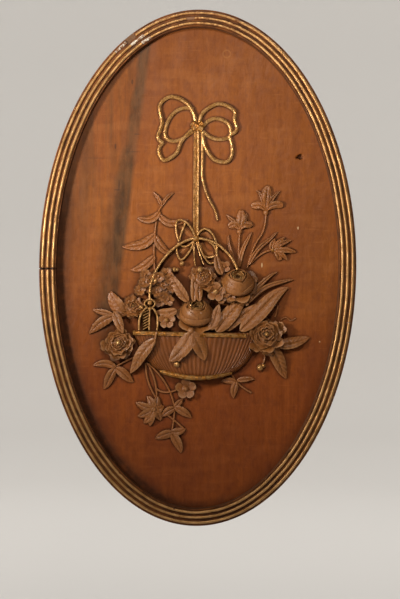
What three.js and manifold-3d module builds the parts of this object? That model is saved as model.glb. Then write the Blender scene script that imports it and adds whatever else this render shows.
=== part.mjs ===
// An oval carved wood panel: a basket of flowers hung from a ribbon bow, in a reeded frame.
// Millimetres, +X to the right, +Z up. The back lies on the wall plane y = 0 and the carving
// faces -Y. The origin is the centre of the oval on the wall.
import * as THREE from 'three';
import { mergeVertices } from 'three/addons/utils/BufferGeometryUtils.js';
import Module from 'manifold-3d';

const wasm = await Module();
wasm.setup();

// Driving dimensions
const OVAL_WIDTH = 768;
const OVAL_HEIGHT = 1250;
const BOARD_THICKNESS = 20;
const FRAME_WIDTH = 42;
const FRAME_DEPTH = 47;
const GAP = 0.3;

// Frame moulding
const OVAL_STEPS = 44;
const BOARD_STEPS = 28;
const REBATE_WIDTH = 14;
const FILLET_HEIGHT = 42;
const GROOVE_HEIGHT = 41;
const REED_CENTRES = [8.5, 21, 33.3];
const REED_WIDTH = 7.6;
const RIGHT_JOINT = THREE.MathUtils.degToRad(-12.2);
const LEFT_JOINT = THREE.MathUtils.degToRad(180.5);
const LEFT_JOINT_GAP = 3;
const CHIP_START = THREE.MathUtils.degToRad(114.6);
const CHIP_END = THREE.MathUtils.degToRad(118.2);
const CHIP_WIDTH = 13;
const CHIP_DEPTH = 6.5;

// Relief
const ROOT = 0.8;
const SMALLEST_DETAIL = 1.2;
const BOW_RIBBON = 11;
const THIN_RIBBON = 5;
const STEM = 4.5;
const BASKET_TOP = -157;
const BASKET_FOOT = -250;
const BASKET_HALF_TOP = 156;
const BASKET_HALF_FOOT = 84;
const BASKET_EDGE = 6;
const BASKET_BULGE = 34;
const BASKET_ROUNDING = 0.5;
const FLUTES = 19;
const FLUTE_DEPTH = 2.4;
const RIM_HEIGHT = 10;
const RIM_LENGTH = 274;
const RIM_FALL = 5;
const BAR_START = -90;
const BAR_LENGTH = 176;
const BAR_HEIGHT = 10.4;
const BAR_SAG = 13;
const BAR_FALL = 3;

const woodBrown = new THREE.MeshStandardMaterial({ color: 0x8a5531, roughness: 0.6, metalness: 0 });
const gilded = new THREE.MeshStandardMaterial({ color: 0xa8803c, roughness: 0.45, metalness: 0.6 });

// A closed geometry whose points are moved by place() becomes a solid with its faces outward
function solid(geometry, place) {
  const bare = geometry.clone();
  bare.deleteAttribute('normal');
  bare.deleteAttribute('uv');
  const merged = mergeVertices(bare, 1e-5);
  const source = merged.attributes.position;
  const points = [];
  for (let i = 0; i < source.count; i++) {
    points.push(place(source.getX(i), source.getY(i), source.getZ(i)));
  }
  const index = merged.index.array;
  const faces = [];
  let volume = 0;
  for (let i = 0; i < index.length; i += 3) {
    const [a, b, c] = [index[i], index[i + 1], index[i + 2]];
    if (a !== b && b !== c && c !== a) {
      faces.push([a, b, c]);
      volume += points[a].dot(new THREE.Vector3().crossVectors(points[b], points[c]));
    }
  }
  const outward = volume > 0 ? faces : faces.map(([a, b, c]) => [a, c, b]);
  return new wasm.Manifold(new wasm.Mesh({
    numProp: 3,
    vertProperties: new Float32Array(points.flatMap((p) => [p.x, p.y, p.z])),
    triVerts: new Uint32Array(outward.flat()),
  }));
}

// The outer surface alone, so that the wood is solid where leaves cross over a hollow
function outerShell(manifold) {
  const shells = manifold.decompose();
  return shells.reduce((a, b) => (a.volume() > b.volume() ? a : b));
}

function mesh(name, manifold, material) {
  const result = manifold.getMesh();
  const geometry = new THREE.BufferGeometry();
  geometry.setAttribute('position', new THREE.BufferAttribute(result.vertProperties, 3));
  geometry.setIndex(new THREE.BufferAttribute(result.triVerts, 1));
  const object = new THREE.Mesh(geometry, material);
  object.name = name;
  return object;
}

// A place on the relief: x and z on the panel, height above the ground of the carving
function onPanel(x, z, height) {
  return new THREE.Vector3(x, -(BOARD_THICKNESS + height), z);
}

// The oval: angle counter-clockwise from +X, inset inward from the outer edge of the frame
function onOval(angle, inset) {
  const a = OVAL_WIDTH / 2;
  const b = OVAL_HEIGHT / 2;
  const edge = new THREE.Vector2(a * Math.cos(angle), b * Math.sin(angle));
  const inward = new THREE.Vector2(-Math.cos(angle) / a, -Math.sin(angle) / b).normalize();
  return edge.addScaledVector(inward, inset);
}

// A profile of [inset, height] points drawn round part of the oval
function ovalMoulding(profile, start, end, steps) {
  const outline = new THREE.Shape(profile.map(([inset, height]) => new THREE.Vector2(inset, height)));
  const bar = new THREE.ExtrudeGeometry(outline, { depth: 1, steps, bevelEnabled: false });
  return solid(bar, (inset, height, along) => {
    const p = onOval(start + (end - start) * along, inset);
    return new THREE.Vector3(p.x, -height, p.y);
  });
}

function frameProfile() {
  const profile = [[0, 0], [0, FILLET_HEIGHT]];
  for (const centre of REED_CENTRES) {
    const half = REED_WIDTH / 2;
    profile.push([centre - half, GROOVE_HEIGHT], [centre - half * 0.5, FRAME_DEPTH]);
    profile.push([centre + half * 0.5, FRAME_DEPTH], [centre + half, GROOVE_HEIGHT]);
  }
  const lip = BOARD_THICKNESS + GAP;
  const rebate = FRAME_WIDTH - REBATE_WIDTH;
  profile.push([FRAME_WIDTH, FILLET_HEIGHT - 1], [FRAME_WIDTH, lip], [rebate, lip], [rebate, 0]);
  return profile;
}

function frameUpper() {
  const gap = LEFT_JOINT_GAP / 2 / (OVAL_HEIGHT / 2);
  const upper = ovalMoulding(frameProfile(), RIGHT_JOINT, LEFT_JOINT - gap, OVAL_STEPS / 2 + 2);
  const bottom = FRAME_DEPTH - CHIP_DEPTH;
  const top = FRAME_DEPTH + CHIP_DEPTH;
  const chip = [[-CHIP_DEPTH, bottom], [-CHIP_DEPTH, top], [CHIP_WIDTH, top], [CHIP_WIDTH, bottom + 1]];
  return upper.subtract(ovalMoulding(chip, CHIP_START, CHIP_END, 2));
}

function frameLower() {
  const gap = LEFT_JOINT_GAP / 2 / (OVAL_HEIGHT / 2);
  const seam = GAP / (OVAL_HEIGHT / 2);
  const end = RIGHT_JOINT + 2 * Math.PI - seam;
  return ovalMoulding(frameProfile(), LEFT_JOINT + gap, end, OVAL_STEPS / 2 - 2);
}

function board() {
  const inset = FRAME_WIDTH - REBATE_WIDTH + 2;
  const outline = [];
  for (let i = 0; i < BOARD_STEPS; i++) {
    outline.push(onOval((i * 2 * Math.PI) / BOARD_STEPS, inset));
  }
  const options = { depth: BOARD_THICKNESS, bevelEnabled: false };
  const slab = new THREE.ExtrudeGeometry(new THREE.Shape(outline), options);
  return solid(slab, (x, z, depth) => new THREE.Vector3(x, -depth, z));
}

// A block bent to shape: place(along 0 to 1, across -1 to 1, up 0 at the root or 1 at the face)
function bentBlock(alongSteps, acrossSteps, place) {
  const block = new THREE.BoxGeometry(1, 2, 1, alongSteps, acrossSteps, 1);
  return solid(block, (x, y, z) => place(x + 0.5, y, z + 0.5));
}

// A centre line through points on the panel; line(t) gives its place and its left-hand side
function centreLine(points) {
  const curve = new THREE.CatmullRomCurve3(
    points.map(([x, z]) => new THREE.Vector3(x, 0, z)), false, 'centripetal');
  return (t) => {
    const at = curve.getPointAt(t);
    const direction = curve.getTangentAt(t);
    return { x: at.x, z: at.z, sideX: -direction.z, sideZ: direction.x };
  };
}

// A flat-topped ribbon along a line
function ribbon(points, width, height, steps, endHeight = height) {
  const line = centreLine(points);
  return bentBlock(steps, 1, (along, across, up) => {
    const { x, z, sideX, sideZ } = line(along);
    const half = (width / 2) * (up ? 0.6 : 1);
    const top = height + (endHeight - height) * along;
    return onPanel(x + sideX * half * across, z + sideZ * half * across, up ? top : -ROOT);
  });
}

// A ridge: three edges along a line, two on the ground and one raised
function ridge(steps, place) {
  const prism = new THREE.CylinderGeometry(1, 1, 1, 3, steps);
  const edge = Math.sin(Math.PI / 3);
  return solid(prism, (x, y, z) => place(y + 0.5, x / edge, (z + 0.5) / 1.5));
}

function stem(points, width, height, steps, endHeight = height, endWidth = width) {
  const line = centreLine(points);
  return ridge(steps, (along, across, up) => {
    const { x, z, sideX, sideZ } = line(along);
    const half = (width + (endWidth - width) * along) / 2;
    const top = height + (endHeight - height) * along;
    return onPanel(x + sideX * half * across, z + sideZ * half * across, -ROOT + (top + ROOT) * up);
  });
}

// The line of a leaf from base to tip; bend pushes its middle to the left of that direction
function leafLine(base, tip, bend) {
  const middle = [(base[0] + tip[0]) / 2, (base[1] + tip[1]) / 2];
  const length = Math.hypot(tip[0] - base[0], tip[1] - base[1]);
  const left = [-(tip[1] - base[1]) / length, (tip[0] - base[0]) / length];
  return centreLine([base, [middle[0] + left[0] * bend, middle[1] + left[1] * bend], tip]);
}

function leafSpread(along) {
  return 0.1 + 0.9 * Math.sin(Math.PI * Math.min(0.985, along ** 0.8)) ** 0.8;
}

// A low leaf: its edges lie on the ground and its midrib is raised
function leaf(base, tip, width, bend, baseHeight, tipHeight, steps = 3) {
  const line = leafLine(base, tip, bend);
  return ridge(steps, (along, across, up) => {
    const { x, z, sideX, sideZ } = line(along);
    const half = (width / 2) * leafSpread(along) * 1.1;
    const top = baseHeight + (tipHeight - baseHeight) * along;
    return onPanel(x + sideX * half * across, z + sideZ * half * across, -ROOT + (top + ROOT) * up);
  });
}

// A high leaf: a crowned blade whose sides go down into the ground
function blade(base, tip, width, bend, baseHeight, tipHeight, steps = 4) {
  const line = leafLine(base, tip, bend);
  return bentBlock(steps, 2, (along, across, up) => {
    const { x, z, sideX, sideZ } = line(along);
    const half = (width / 2) * leafSpread(along) * (up ? 1 : 0.8);
    const arch = 0.12 * width * Math.sin(Math.PI * along);
    const face = baseHeight + (tipHeight - baseHeight) * along + arch;
    const top = face - 0.16 * width * Math.abs(across) * leafSpread(along);
    return onPanel(x + sideX * half * across, z + sideZ * half * across, up ? top : -ROOT);
  });
}

// A turned form on the panel; rows of [radius, height, lobe], the lobe pushing the petals out
function turned(at, rows, segments, petals, turn = 0) {
  const profile = rows.map(([radius], row) => new THREE.Vector2(radius, row));
  const lathe = new THREE.LatheGeometry(profile, segments);
  return solid(lathe, (x, row, z) => {
    const [radius, height, lobe] = rows[Math.round(row)];
    const angle = Math.atan2(z, x);
    const reach = radius * (1 + lobe * Math.cos(petals * (angle - turn)));
    return onPanel(at[0] + reach * Math.cos(angle), at[1] + reach * Math.sin(angle), height);
  });
}

// A full rose: open outer petals, a cup of inner petals and a hollow heart
function rose(at, radius, height, turn = 0, segments = 15) {
  const r = radius;
  const h = height;
  const rows = [[0, -ROOT, 0], [r * 0.8, -ROOT, 0], [r, h * 0.52, 0.07], [r * 0.8, h * 0.55, 0]];
  rows.push([r * 0.78, h * 0.78, -0.06], [r * 0.6, h * 0.78, 0], [r * 0.56, h * 0.98, 0.06]);
  rows.push([r * 0.34, h, 0], [0, h * 0.84, 0]);
  return turned(at, rows, segments, 5, turn);
}

// A small open flower with a raised heart
function openFlower(at, radius, height, petals = 5, turn = 0) {
  const r = radius * 0.84;
  const h = height;
  const rows = [[0, -ROOT, 0], [r * 0.9, -ROOT, 0.17], [r, h * 0.7, 0.19], [r * 0.4, h * 0.62, 0.05]];
  rows.push([r * 0.26, h, 0], [0, h, 0]);
  return turned(at, rows, petals * 3, petals, turn);
}

function ball(at, radius, height) {
  const r = radius;
  const rows = [[0, -ROOT, 0], [r, -ROOT, 0], [r, height - r * 0.6, 0], [0, height, 0]];
  return turned(at, rows, 6, 6);
}

// The upper bow: three loops each side, a double band and one loose tail
function upperBow() {
  const w = BOW_RIBBON;
  return [
    stem([[-7, 350], [-29, 399], [-70, 415], [-95, 395], [-90, 350], [-99, 315], [-86, 303]], w, 9, 11),
    stem([[-14, 386], [-47, 385], [-73, 360], [-81, 318], [-61, 307], [-14, 333]], w, 7, 8),
    stem([[-16, 334], [-42, 307], [-55, 277], [-85, 261], [-97, 284], [-86, 304]], w, 9, 8),
    stem([[2, 350], [10, 377], [50, 399], [87, 380], [86, 362], [92, 337], [80, 326]], w, 9, 11),
    stem([[5, 338], [37, 363], [71, 351], [76, 321], [44, 313], [10, 332]], w, 7, 8),
    stem([[10, 330], [15, 296], [39, 263], [70, 259], [81, 277], [74, 320]], w, 9, 8),
    ribbon([[-5, 340], [-6, 230], [-4, 80]], 14, 7, 2),
    stem([[8, 332], [9, 268], [7, 231], [22, 176], [42, 140], [48, 114]], w, 7, 9, 5, 3),
    ball([-4, 344], 12, 13),
  ];
}

// The lower bow that ties the handle
function lowerBow() {
  const w = THIN_RIBBON;
  const tie = [-5, 71];
  return [
    stem([tie, [-30, 111], [-50, 114], [-53, 92], [-46, 64]], w, 11, 8),
    stem([[-30, 110], [-41, 82], [-46, 64]], w, 9, 2),
    stem([tie, [14, 94], [30, 88], [43, 66], [46, 38]], w, 11, 7),
    stem([[0, 68], [12, 33], [30, 11], [46, 20], [40, 52], [27, 63]], w, 11, 9),
    stem([[7, 56], [16, 29], [40, 28]], w, 9, 3),
    stem([[-10, 66], [-21, 38], [-41, 19], [-51, 40], [-47, 59]], w, 11, 8),
    stem([[-47, 60], [-32, 51], [-12, 64]], w, 9, 3),
    stem([[-9, 66], [-9, 36], [-6, 4]], w, 9, 2, 22),
    stem([[-4, 66], [4, 36], [14, 8]], w, 9, 2, 22),
    ball(tie, 9, 16),
  ];
}

// The twisted handle and its pierced foot on the rim
function handle() {
  const w = THIN_RIBBON;
  const arch = [[-115, -77], [-111, -38], [-88, 12], [-50, 53], [-8, 71], [38, 62], [74, 34], [96, -4]];
  return [
    stem(arch, w, 16, 12, 30),
    stem([[-115, -76], [-128, -87], [-121, -97]], w, 27, 3),
    stem([[-115, -76], [-102, -87], [-110, -97]], w, 27, 3),
    stem([[-121, -96], [-136, -114], [-140, -152]], w, 30, 4),
    stem([[-110, -96], [-98, -114], [-97, -152]], w, 30, 4),
    ribbon([[-118, -94], [-121, -152]], 10, 27, 1),
  ];
}

function basketHalfWidth(v) {
  return BASKET_HALF_FOOT + (BASKET_HALF_TOP - BASKET_HALF_FOOT) * v ** BASKET_ROUNDING;
}

function basketHeight(u, v) {
  return BASKET_EDGE + BASKET_BULGE * Math.sqrt(Math.max(0, 1 - u * u)) * (0.5 + 0.5 * v ** 0.6);
}

// How far the foot bar, and the bowl's lower edge with it, hang below the bar's ends
function basketSag(x) {
  const along = THREE.MathUtils.clamp((x - BAR_START) / BAR_LENGTH, 0, 1);
  return BAR_SAG * Math.sin(Math.PI * along) + BAR_FALL * along;
}

// The fluted basket with its gilt rim and foot bar
function basket() {
  const bowl = bentBlock(2 * FLUTES, 3, (along, across, up) => {
    const u = -Math.cos(Math.PI * along);
    const v = (across + 1) / 2;
    const rib = Math.round(along * 2 * FLUTES) % 2 ? FLUTE_DEPTH : 0;
    const x = u * basketHalfWidth(v);
    const z = BASKET_FOOT + (BASKET_TOP - BASKET_FOOT) * v - basketSag(x) * (1 - v) ** 1.5;
    return onPanel(x, z, up ? basketHeight(u, v) - rib : -ROOT);
  });
  const rim = bentBlock(12, 1, (along, across, up) => {
    const x = -BASKET_HALF_TOP + RIM_LENGTH * along;
    const z = BASKET_TOP - 2 + (across * RIM_HEIGHT) / 2 - RIM_FALL * along;
    return onPanel(x, z, up ? basketHeight(x / (BASKET_HALF_TOP + 2), 1) + 3.5 : -ROOT);
  });
  const bar = bentBlock(8, 1, (along, across, up) => {
    const x = BAR_START + BAR_LENGTH * along;
    const round = Math.sqrt(1 - 0.8 * (2 * along - 1) ** 8);
    const z = BASKET_FOOT - 2 - basketSag(x) + (BAR_HEIGHT / 2) * across * round;
    return onPanel(x, z, up ? 14 + 20 * Math.sin(Math.PI * along) : -ROOT);
  });
  return [bowl, rim, bar];
}

// The big blooms of the bouquet
function blooms() {
  return [
    blade([-36, -150], [28, -150], 34, 8, 34, 34),
    rose([-2, -107], 41, 48, 0.3),
    ball([-15, -153], 9, 46),
    rose([101, -30], 42, 44, 0.9),
    blade([60, -52], [148, -50], 28, -12, 26, 24),
    rose([163, -157], 45, 42, 0.2),
    rose([-186, -181], 42, 40, 0.7, 10),
    rose([-155, -96], 27, 27, 0.4, 10),
    openFlower([12, -22], 37, 38, 5, 0.5),
    ball([6, -4], 8, 42),
    openFlower([44, -58], 23, 36, 5, 0.2),
    openFlower([-74, -128], 20, 30, 5, 0.3),
  ];
}

// Small round florets in clusters
function florets() {
  const left = [[-127, -20], [-125, -40], [-94, -22], [-86, -42], [-98, -60], [-70, -36], [-98, -78]];
  left.push([-76, -14], [-72, -72], [-78, -57]);
  const right = [[57, -75], [68, -61], [79, -72]];
  const round = (at, height) => turned(at,
    [[0, -ROOT, 0], [10, -ROOT, 0], [9, height * 0.75, 0], [0, height, 0]], 5, 5);
  return [...left.map((at) => round(at, 20)), ...right.map((at) => round(at, 32))];
}

// Leaves and buds inside the bouquet
function bouquetLeaves() {
  return [
    blade([-22, -82], [-63, -12], 25, 4, 30, 22),
    blade([-50, -102], [-99, -106], 22, 5, 26, 20, 3),
    blade([-2, -82], [-3, -16], 26, 0, 36, 26, 3),
    blade([31, -150], [53, -88], 18, -2, 34, 28, 3),
    blade([46, -154], [123, -72], 30, 5, 34, 16, 5),
    blade([82, -150], [222, -45], 30, 5, 30, 6, 6),
    blade([118, -92], [193, -8], 11, 9, 20, 5),
    blade([124, -84], [233, -27], 11, 14, 16, 4, 5),
    blade([59, -16], [43, 34], 19, 2, 18, 10, 3),
    ball([-38, 10], 6, 16),
    ball([-57, -5], 6, 16),
    ball([-103, -33], 6, 24),
    ball([-136, -97], 6, 24),
  ];
}

// The leafy spray at the upper left
function leftSpray() {
  return [
    stem([[-104, -9], [-106, 60], [-98, 130], [-88, 150]], STEM, 5, 6),
    leaf([-89, 148], [-110, 184], 8, -3, 6, 3),
    leaf([-88, 150], [-59, 182], 8, 4, 6, 3),
    leaf([-93, 136], [-148, 121], 16, 11, 8, 3),
    leaf([-98, 130], [-24, 117], 17, -15, 8, 3, 4),
    leaf([-104, 82], [-184, 50], 21, 11, 8, 3, 5),
    leaf([-104, 78], [-61, 35], 18, -7, 8, 4),
    leaf([-105, 29], [-163, -6], 19, 7, 8, 3),
  ];
}

// Leaves round the rose at the far left, and the one laid over the end of the basket
function farLeftLeaves() {
  return [
    leaf([-200, -121], [-254, -103], 15, -2, 14, 4),
    leaf([-202, -119], [-262, -162], 24, -6, 15, 5),
    leaf([-174, -117], [-209, -59], 34, 5, 13, 4),
    leaf([-203, -108], [-179, -160], 22, 2, 18, 28),
    stem([[-141, -213], [-187, -236], [-203, -247]], STEM, 6, 4),
    leaf([-197, -243], [-252, -239], 18, -7, 10, 4),
    leaf([-199, -246], [-226, -296], 22, 0, 11, 4),
    leaf([-197, -245], [-154, -279], 22, 2, 11, 4),
    stem([[-98, -156], [-103, -180], [-110, -196]], STEM, 42, 3),
    blade([-101, -174], [-161, -257], 29, -5, 44, 14, 5),
  ];
}

// Irises and grass at the upper right
function irises() {
  return [
    stem([[120, 0], [139, 57], [158, 90], [165, 133]], STEM, 5, 7),
    leaf([165, 150], [143, 190], 9, -3, 8, 4, 2),
    leaf([165, 150], [164, 192], 12, 0, 10, 4, 2),
    leaf([166, 152], [188, 180], 10, 4, 9, 4, 2),
    leaf([166, 150], [202, 153], 11, 6, 9, 4, 2),
    leaf([162, 136], [128, 152], 12, -4, 8, 4, 2),
    ball([165, 140], 8, 10),
    stem([[97, 3], [100, 52], [101, 88]], STEM, 5, 4),
    leaf([101, 92], [104, 134], 12, 0, 10, 4, 2),
    leaf([100, 96], [76, 128], 11, 4, 8, 4, 2),
    leaf([100, 92], [73, 100], 11, -5, 8, 4, 2),
    leaf([103, 96], [128, 106], 12, 5, 8, 4, 2),
    ball([101, 90], 8, 10),
    stem([[130, 13], [160, 38], [192, 46]], STEM, 5, 5),
    leaf([196, 45], [186, 72], 11, 2, 8, 4, 2),
    leaf([198, 46], [222, 66], 11, 3, 8, 4, 2),
    leaf([196, 44], [234, 36], 11, 3, 8, 4, 2),
    leaf([196, 44], [204, 22], 10, 0, 8, 4, 2),
    leaf([90, 3], [75, 81], 8, 2, 8, 3),
    leaf([102, 3], [131, 88], 10, 7, 8, 3),
    leaf([124, 8], [192, 89], 10, 7, 8, 3),
    openFlower([65, 3], 13, 12, 4, 0.8),
  ];
}

// Leaves, bud and tendrils round the rose at the right
function rightLeaves() {
  return [
    leaf([192, -186], [273, -167], 27, -3, 18, 4),
    blade([174, -184], [217, -267], 32, 3, 20, 6),
    stem([[165, -196], [165, -217], [158, -236]], STEM, 8, 4, 6),
    ball([154, -241], 8, 14),
    stem([[189, -118], [193, -104], [196, -90]], STEM, 4, 3),
    stem([[203, -125], [216, -119], [227, -126], [239, -120]], STEM, 4, 5),
  ];
}

// Two veined leaves and a bud laid over the front of the basket
function basketLeaves() {
  return [
    blade([-13, -156], [-66, -226], 38, 5, 50, 40, 5),
    blade([-17, -158], [19, -223], 35, 5, 49, 44, 5),
    stem([[-24, -196], [-32, -212], [-44, -226]], STEM, 44, 3),
    ball([-48, -233], 8, 36),
  ];
}

// Trailing vines below the basket
function vines() {
  return [
    stem([[-124, -232], [-116, -282], [-83, -338]], STEM, 5, 7),
    stem([[-121, -232], [-101, -280], [-98, -335]], STEM, 5, 6),
    stem([[-118, -234], [-74, -284], [-53, -341]], STEM, 5, 7),
    stem([[-98, -295], [-78, -303], [-50, -298]], STEM, 5, 4),
    stem([[-53, -339], [-55, -370], [-60, -402]], STEM, 5, 4),
    stem([[-72, -357], [-50, -374], [-28, -394]], STEM, 5, 4),
    openFlower([-26, -294], 25, 15, 5, 0.4),
    openFlower([-106, -344], 37, 14, 6, 0.3),
    leaf([-53, -339], [-33, -320], 14, 0, 8, 4),
    leaf([-53, -339], [-13, -365], 19, 2, 8, 4),
    leaf([-53, -341], [-85, -362], 19, -2, 8, 4),
    leaf([-58, -400], [-99, -416], 21, -2, 8, 4),
    leaf([-60, -399], [-26, -391], 18, -2, 8, 4),
    leaf([-60, -401], [-37, -450], 22, 2, 8, 4),
    stem([[80, -246], [97, -276], [133, -302]], STEM, 5, 5),
    leaf([95, -275], [60, -275], 15, -2, 8, 4),
    leaf([96, -276], [90, -316], 17, -2, 8, 4),
    leaf([97, -273], [140, -270], 13, 2, 8, 4),
  ];
}

function carvedPanel() {
  const relief = [
    upperBow(), lowerBow(), handle(), basket(), blooms(), florets(), bouquetLeaves(), leftSpray(),
    farLeftLeaves(), irises(), rightLeaves(), basketLeaves(), vines(),
  ].flat();
  const whole = relief.reduce((panel, piece) => panel.add(piece), board());
  return outerShell(whole.simplify(SMALLEST_DETAIL));
}

const group = new THREE.Group();
group.add(mesh('carved_panel', carvedPanel(), woodBrown));
group.add(mesh('frame_upper', frameUpper(), gilded));
group.add(mesh('frame_lower', frameLower(), gilded));

export default group;
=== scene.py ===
"""An oval carved wood panel: a basket of flowers hung from a ribbon bow, in a reeded gilt frame.

The relief is laid out in millimetres on the panel, x to the right and z up from the oval's centre,
with heights above the carved ground. The scene itself is in metres.
"""
import math

import bpy
import numpy as np
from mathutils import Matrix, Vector
from mathutils.bvhtree import BVHTree


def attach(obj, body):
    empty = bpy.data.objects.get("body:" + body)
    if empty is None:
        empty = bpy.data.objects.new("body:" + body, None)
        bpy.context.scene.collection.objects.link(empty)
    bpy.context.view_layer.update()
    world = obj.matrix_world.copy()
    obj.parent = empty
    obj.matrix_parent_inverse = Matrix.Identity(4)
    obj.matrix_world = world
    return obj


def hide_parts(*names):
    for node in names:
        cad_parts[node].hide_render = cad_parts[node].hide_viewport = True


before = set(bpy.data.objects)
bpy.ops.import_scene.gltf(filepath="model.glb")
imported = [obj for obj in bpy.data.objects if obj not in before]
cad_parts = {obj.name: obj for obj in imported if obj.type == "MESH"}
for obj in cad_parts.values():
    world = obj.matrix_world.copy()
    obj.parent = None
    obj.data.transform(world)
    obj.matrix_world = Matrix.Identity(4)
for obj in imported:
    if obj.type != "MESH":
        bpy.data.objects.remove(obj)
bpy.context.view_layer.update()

MM = 0.001
OVAL_WIDTH = 768
OVAL_HEIGHT = 1250
BOARD = 20
FRAME_WIDTH = 42
FRAME_DEPTH = 47
REBATE_WIDTH = 14
REBATE_PLAY = 2
GAP = 0.3
ROOT = 6
WOOD, GILT, DULL, BASKET = 0, 1, 2, 3

random = np.random.default_rng(7)


def smooth(low, high, value):
    """A soft step from 0 at low to 1 at high."""
    t = np.clip((value - low) / (high - low), 0, 1)
    return t * t * (3 - 2 * t)


def shown(name, data):
    """A new object in the scene for a mesh, a lamp or the camera."""
    made = bpy.data.objects.new(name, data)
    bpy.context.scene.collection.objects.link(made)
    return made


# Camera, stage and light

PHOTO_MM_PER_PIXEL = 2.4163
PHOTO_CENTRE = (200, 299.5)
PHOTO_HEIGHT = 599
OVAL_CENTRE_PIXEL = (197.45, 267.7)
CAMERA_DISTANCE = 4.2
CAMERA_ROLL = -0.5
FRONT_DISTANCE = CAMERA_DISTANCE - FRAME_DEPTH * MM


def make_camera():
    """A level camera in front of the panel, placed so that the oval lands where the photo has it."""
    data = bpy.data.cameras.new("camera")
    data.sensor_fit = "VERTICAL"
    data.sensor_height = 36
    view_height = PHOTO_HEIGHT * PHOTO_MM_PER_PIXEL * MM
    data.lens = data.sensor_height * FRONT_DISTANCE / view_height
    camera = shown("camera", data)
    across = (PHOTO_CENTRE[0] - OVAL_CENTRE_PIXEL[0]) * PHOTO_MM_PER_PIXEL * MM
    up = (OVAL_CENTRE_PIXEL[1] - PHOTO_CENTRE[1]) * PHOTO_MM_PER_PIXEL * MM
    camera.location = (across, -CAMERA_DISTANCE, up)
    camera.rotation_euler = (math.pi / 2, math.radians(CAMERA_ROLL), 0)
    bpy.context.scene.camera = camera


def make_stage():
    """A pale floor that sweeps up into a distant round wall."""
    floor_z = -1.15
    rings = [(0, 0), (3, 0), (6, 0), (7.5, 0.15), (8.6, 0.7), (9.3, 1.7), (9.6, 3), (9.6, 9)]
    segments = 96
    vertices = [(0, 0, floor_z)]
    for radius, height in rings[1:]:
        for i in range(segments):
            angle = 2 * math.pi * i / segments
            vertices.append((radius * math.cos(angle), radius * math.sin(angle), floor_z + height))
    faces = [(0, 1 + i, 1 + (i + 1) % segments) for i in range(segments)]
    for ring in range(len(rings) - 2):
        a, b = 1 + ring * segments, 1 + (ring + 1) * segments
        for i in range(segments):
            j = (i + 1) % segments
            faces.append((a + i, b + i, b + j, a + j))
    mesh = bpy.data.meshes.new("stage")
    mesh.from_pydata(vertices, [], faces)
    mesh.shade_smooth()
    material = bpy.data.materials.new("stage")
    material.use_nodes = True
    shader = material.node_tree.nodes["Principled BSDF"]
    shader.inputs["Base Color"].default_value = (0.62, 0.6, 0.57, 1)
    shader.inputs["Roughness"].default_value = 0.95
    shader.inputs["Specular IOR Level"].default_value = 0.1
    mesh.materials.append(material)
    stage = shown("stage", mesh)


def area_light(name, place, target, size, power, colour, spread=180):
    """A square lamp at a place in metres that points at a target; its spread is in degrees."""
    data = bpy.data.lights.new(name, "AREA")
    data.energy = power
    data.size = size
    data.color = colour
    data.spread = math.radians(spread)
    light = shown(name, data)
    light.location = place
    light.rotation_euler = (Vector(target) - Vector(place)).to_track_quat("-Z", "Y").to_euler()
    light.visible_camera = False


def make_lights():
    """A low warm light from the left, two weak ones for the top and the shadows, and two on the stage."""
    warm = (1, 0.93, 0.84)
    area_light("key", (-1.1, -0.97, 0.12), (0.16, 0, 0.44), 0.22, 6.2, warm, 92)
    area_light("fill", (-0.1, -1.85, 1.0), (0.06, 0, 0.38), 0.3, 3.3, warm, 70)
    area_light("low", (-0.3, -1.5, -1.1), (0, 0, -0.1), 0.2, 0.6, warm, 120)
    for side in (-3, 3):
        area_light("stage_light", (side, 2.2, 5.5), (side, 7, -1), 4, 330, (1, 0.98, 0.96))
    world = bpy.data.worlds.new("world")
    bpy.context.scene.world = world
    world.use_nodes = True
    background = world.node_tree.nodes["Background"]
    background.inputs["Color"].default_value = (1, 0.98, 0.95, 1)
    background.inputs["Strength"].default_value = 0.05
    bpy.context.scene.view_settings.view_transform = "Standard"


# Twelve random directions and phases for the uneven surfaces
phases = np.random.default_rng(3).uniform(0, 2 * math.pi, (12, 2))


def unevenness(x, z, size, waves):
    """Gentle random waves about size millimetres long, mostly between -1 and 1."""
    total = 0
    for i in range(waves):
        turn, phase = phases[i]
        reach = 2 * math.pi / (size * (0.6 + 0.8 * i / waves))
        total = total + np.sin(reach * (x * math.cos(turn) + z * math.sin(turn)) + phase + 2.3 * i)
    return total / math.sqrt(waves)


# Closed meshes in panel millimetres: x, z, height

solids = []


def keep(vertices, faces, material):
    """Stores a closed solid with its faces outward."""
    vertices = np.asarray(vertices, float)
    volume = 0.0
    for face in faces:
        a = vertices[face[0]]
        for i in range(1, len(face) - 1):
            volume += np.dot(a, np.cross(vertices[face[i]], vertices[face[i + 1]]))
    if volume < 0:
        faces = [tuple(reversed(face)) for face in faces]
    solids.append((vertices, faces, material))


def sheet(index):
    """The corners of every quad in a grid of vertex numbers."""
    return index[:-1, :-1], index[1:, :-1], index[1:, 1:], index[:-1, 1:]


def faces_of(quads):
    """Faces from groups of quads, each given as four arrays of corners."""
    rows = [np.stack([corner.ravel() for corner in quad], 1) for quad in quads]
    return [tuple(face) for face in np.concatenate(rows).tolist()]


def slab(top, under, material):
    """A closed plate between two grids of points of the same size."""
    n, m = top.shape[:2]
    vertices = np.concatenate([top.reshape(-1, 3), under.reshape(-1, 3)])
    index = np.arange(n * m).reshape(n, m)
    below = index + n * m
    quads = [
        sheet(index),
        (below[:-1, :-1], below[:-1, 1:], below[1:, 1:], below[1:, :-1]),
        (index[:-1, 0], below[:-1, 0], below[1:, 0], index[1:, 0]),
        (index[:-1, -1], index[1:, -1], below[1:, -1], below[:-1, -1]),
        (index[0, :-1], index[0, 1:], below[0, 1:], below[0, :-1]),
        (index[-1, :-1], below[-1, :-1], below[-1, 1:], index[-1, 1:]),
    ]
    keep(vertices, faces_of(quads), material)


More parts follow.
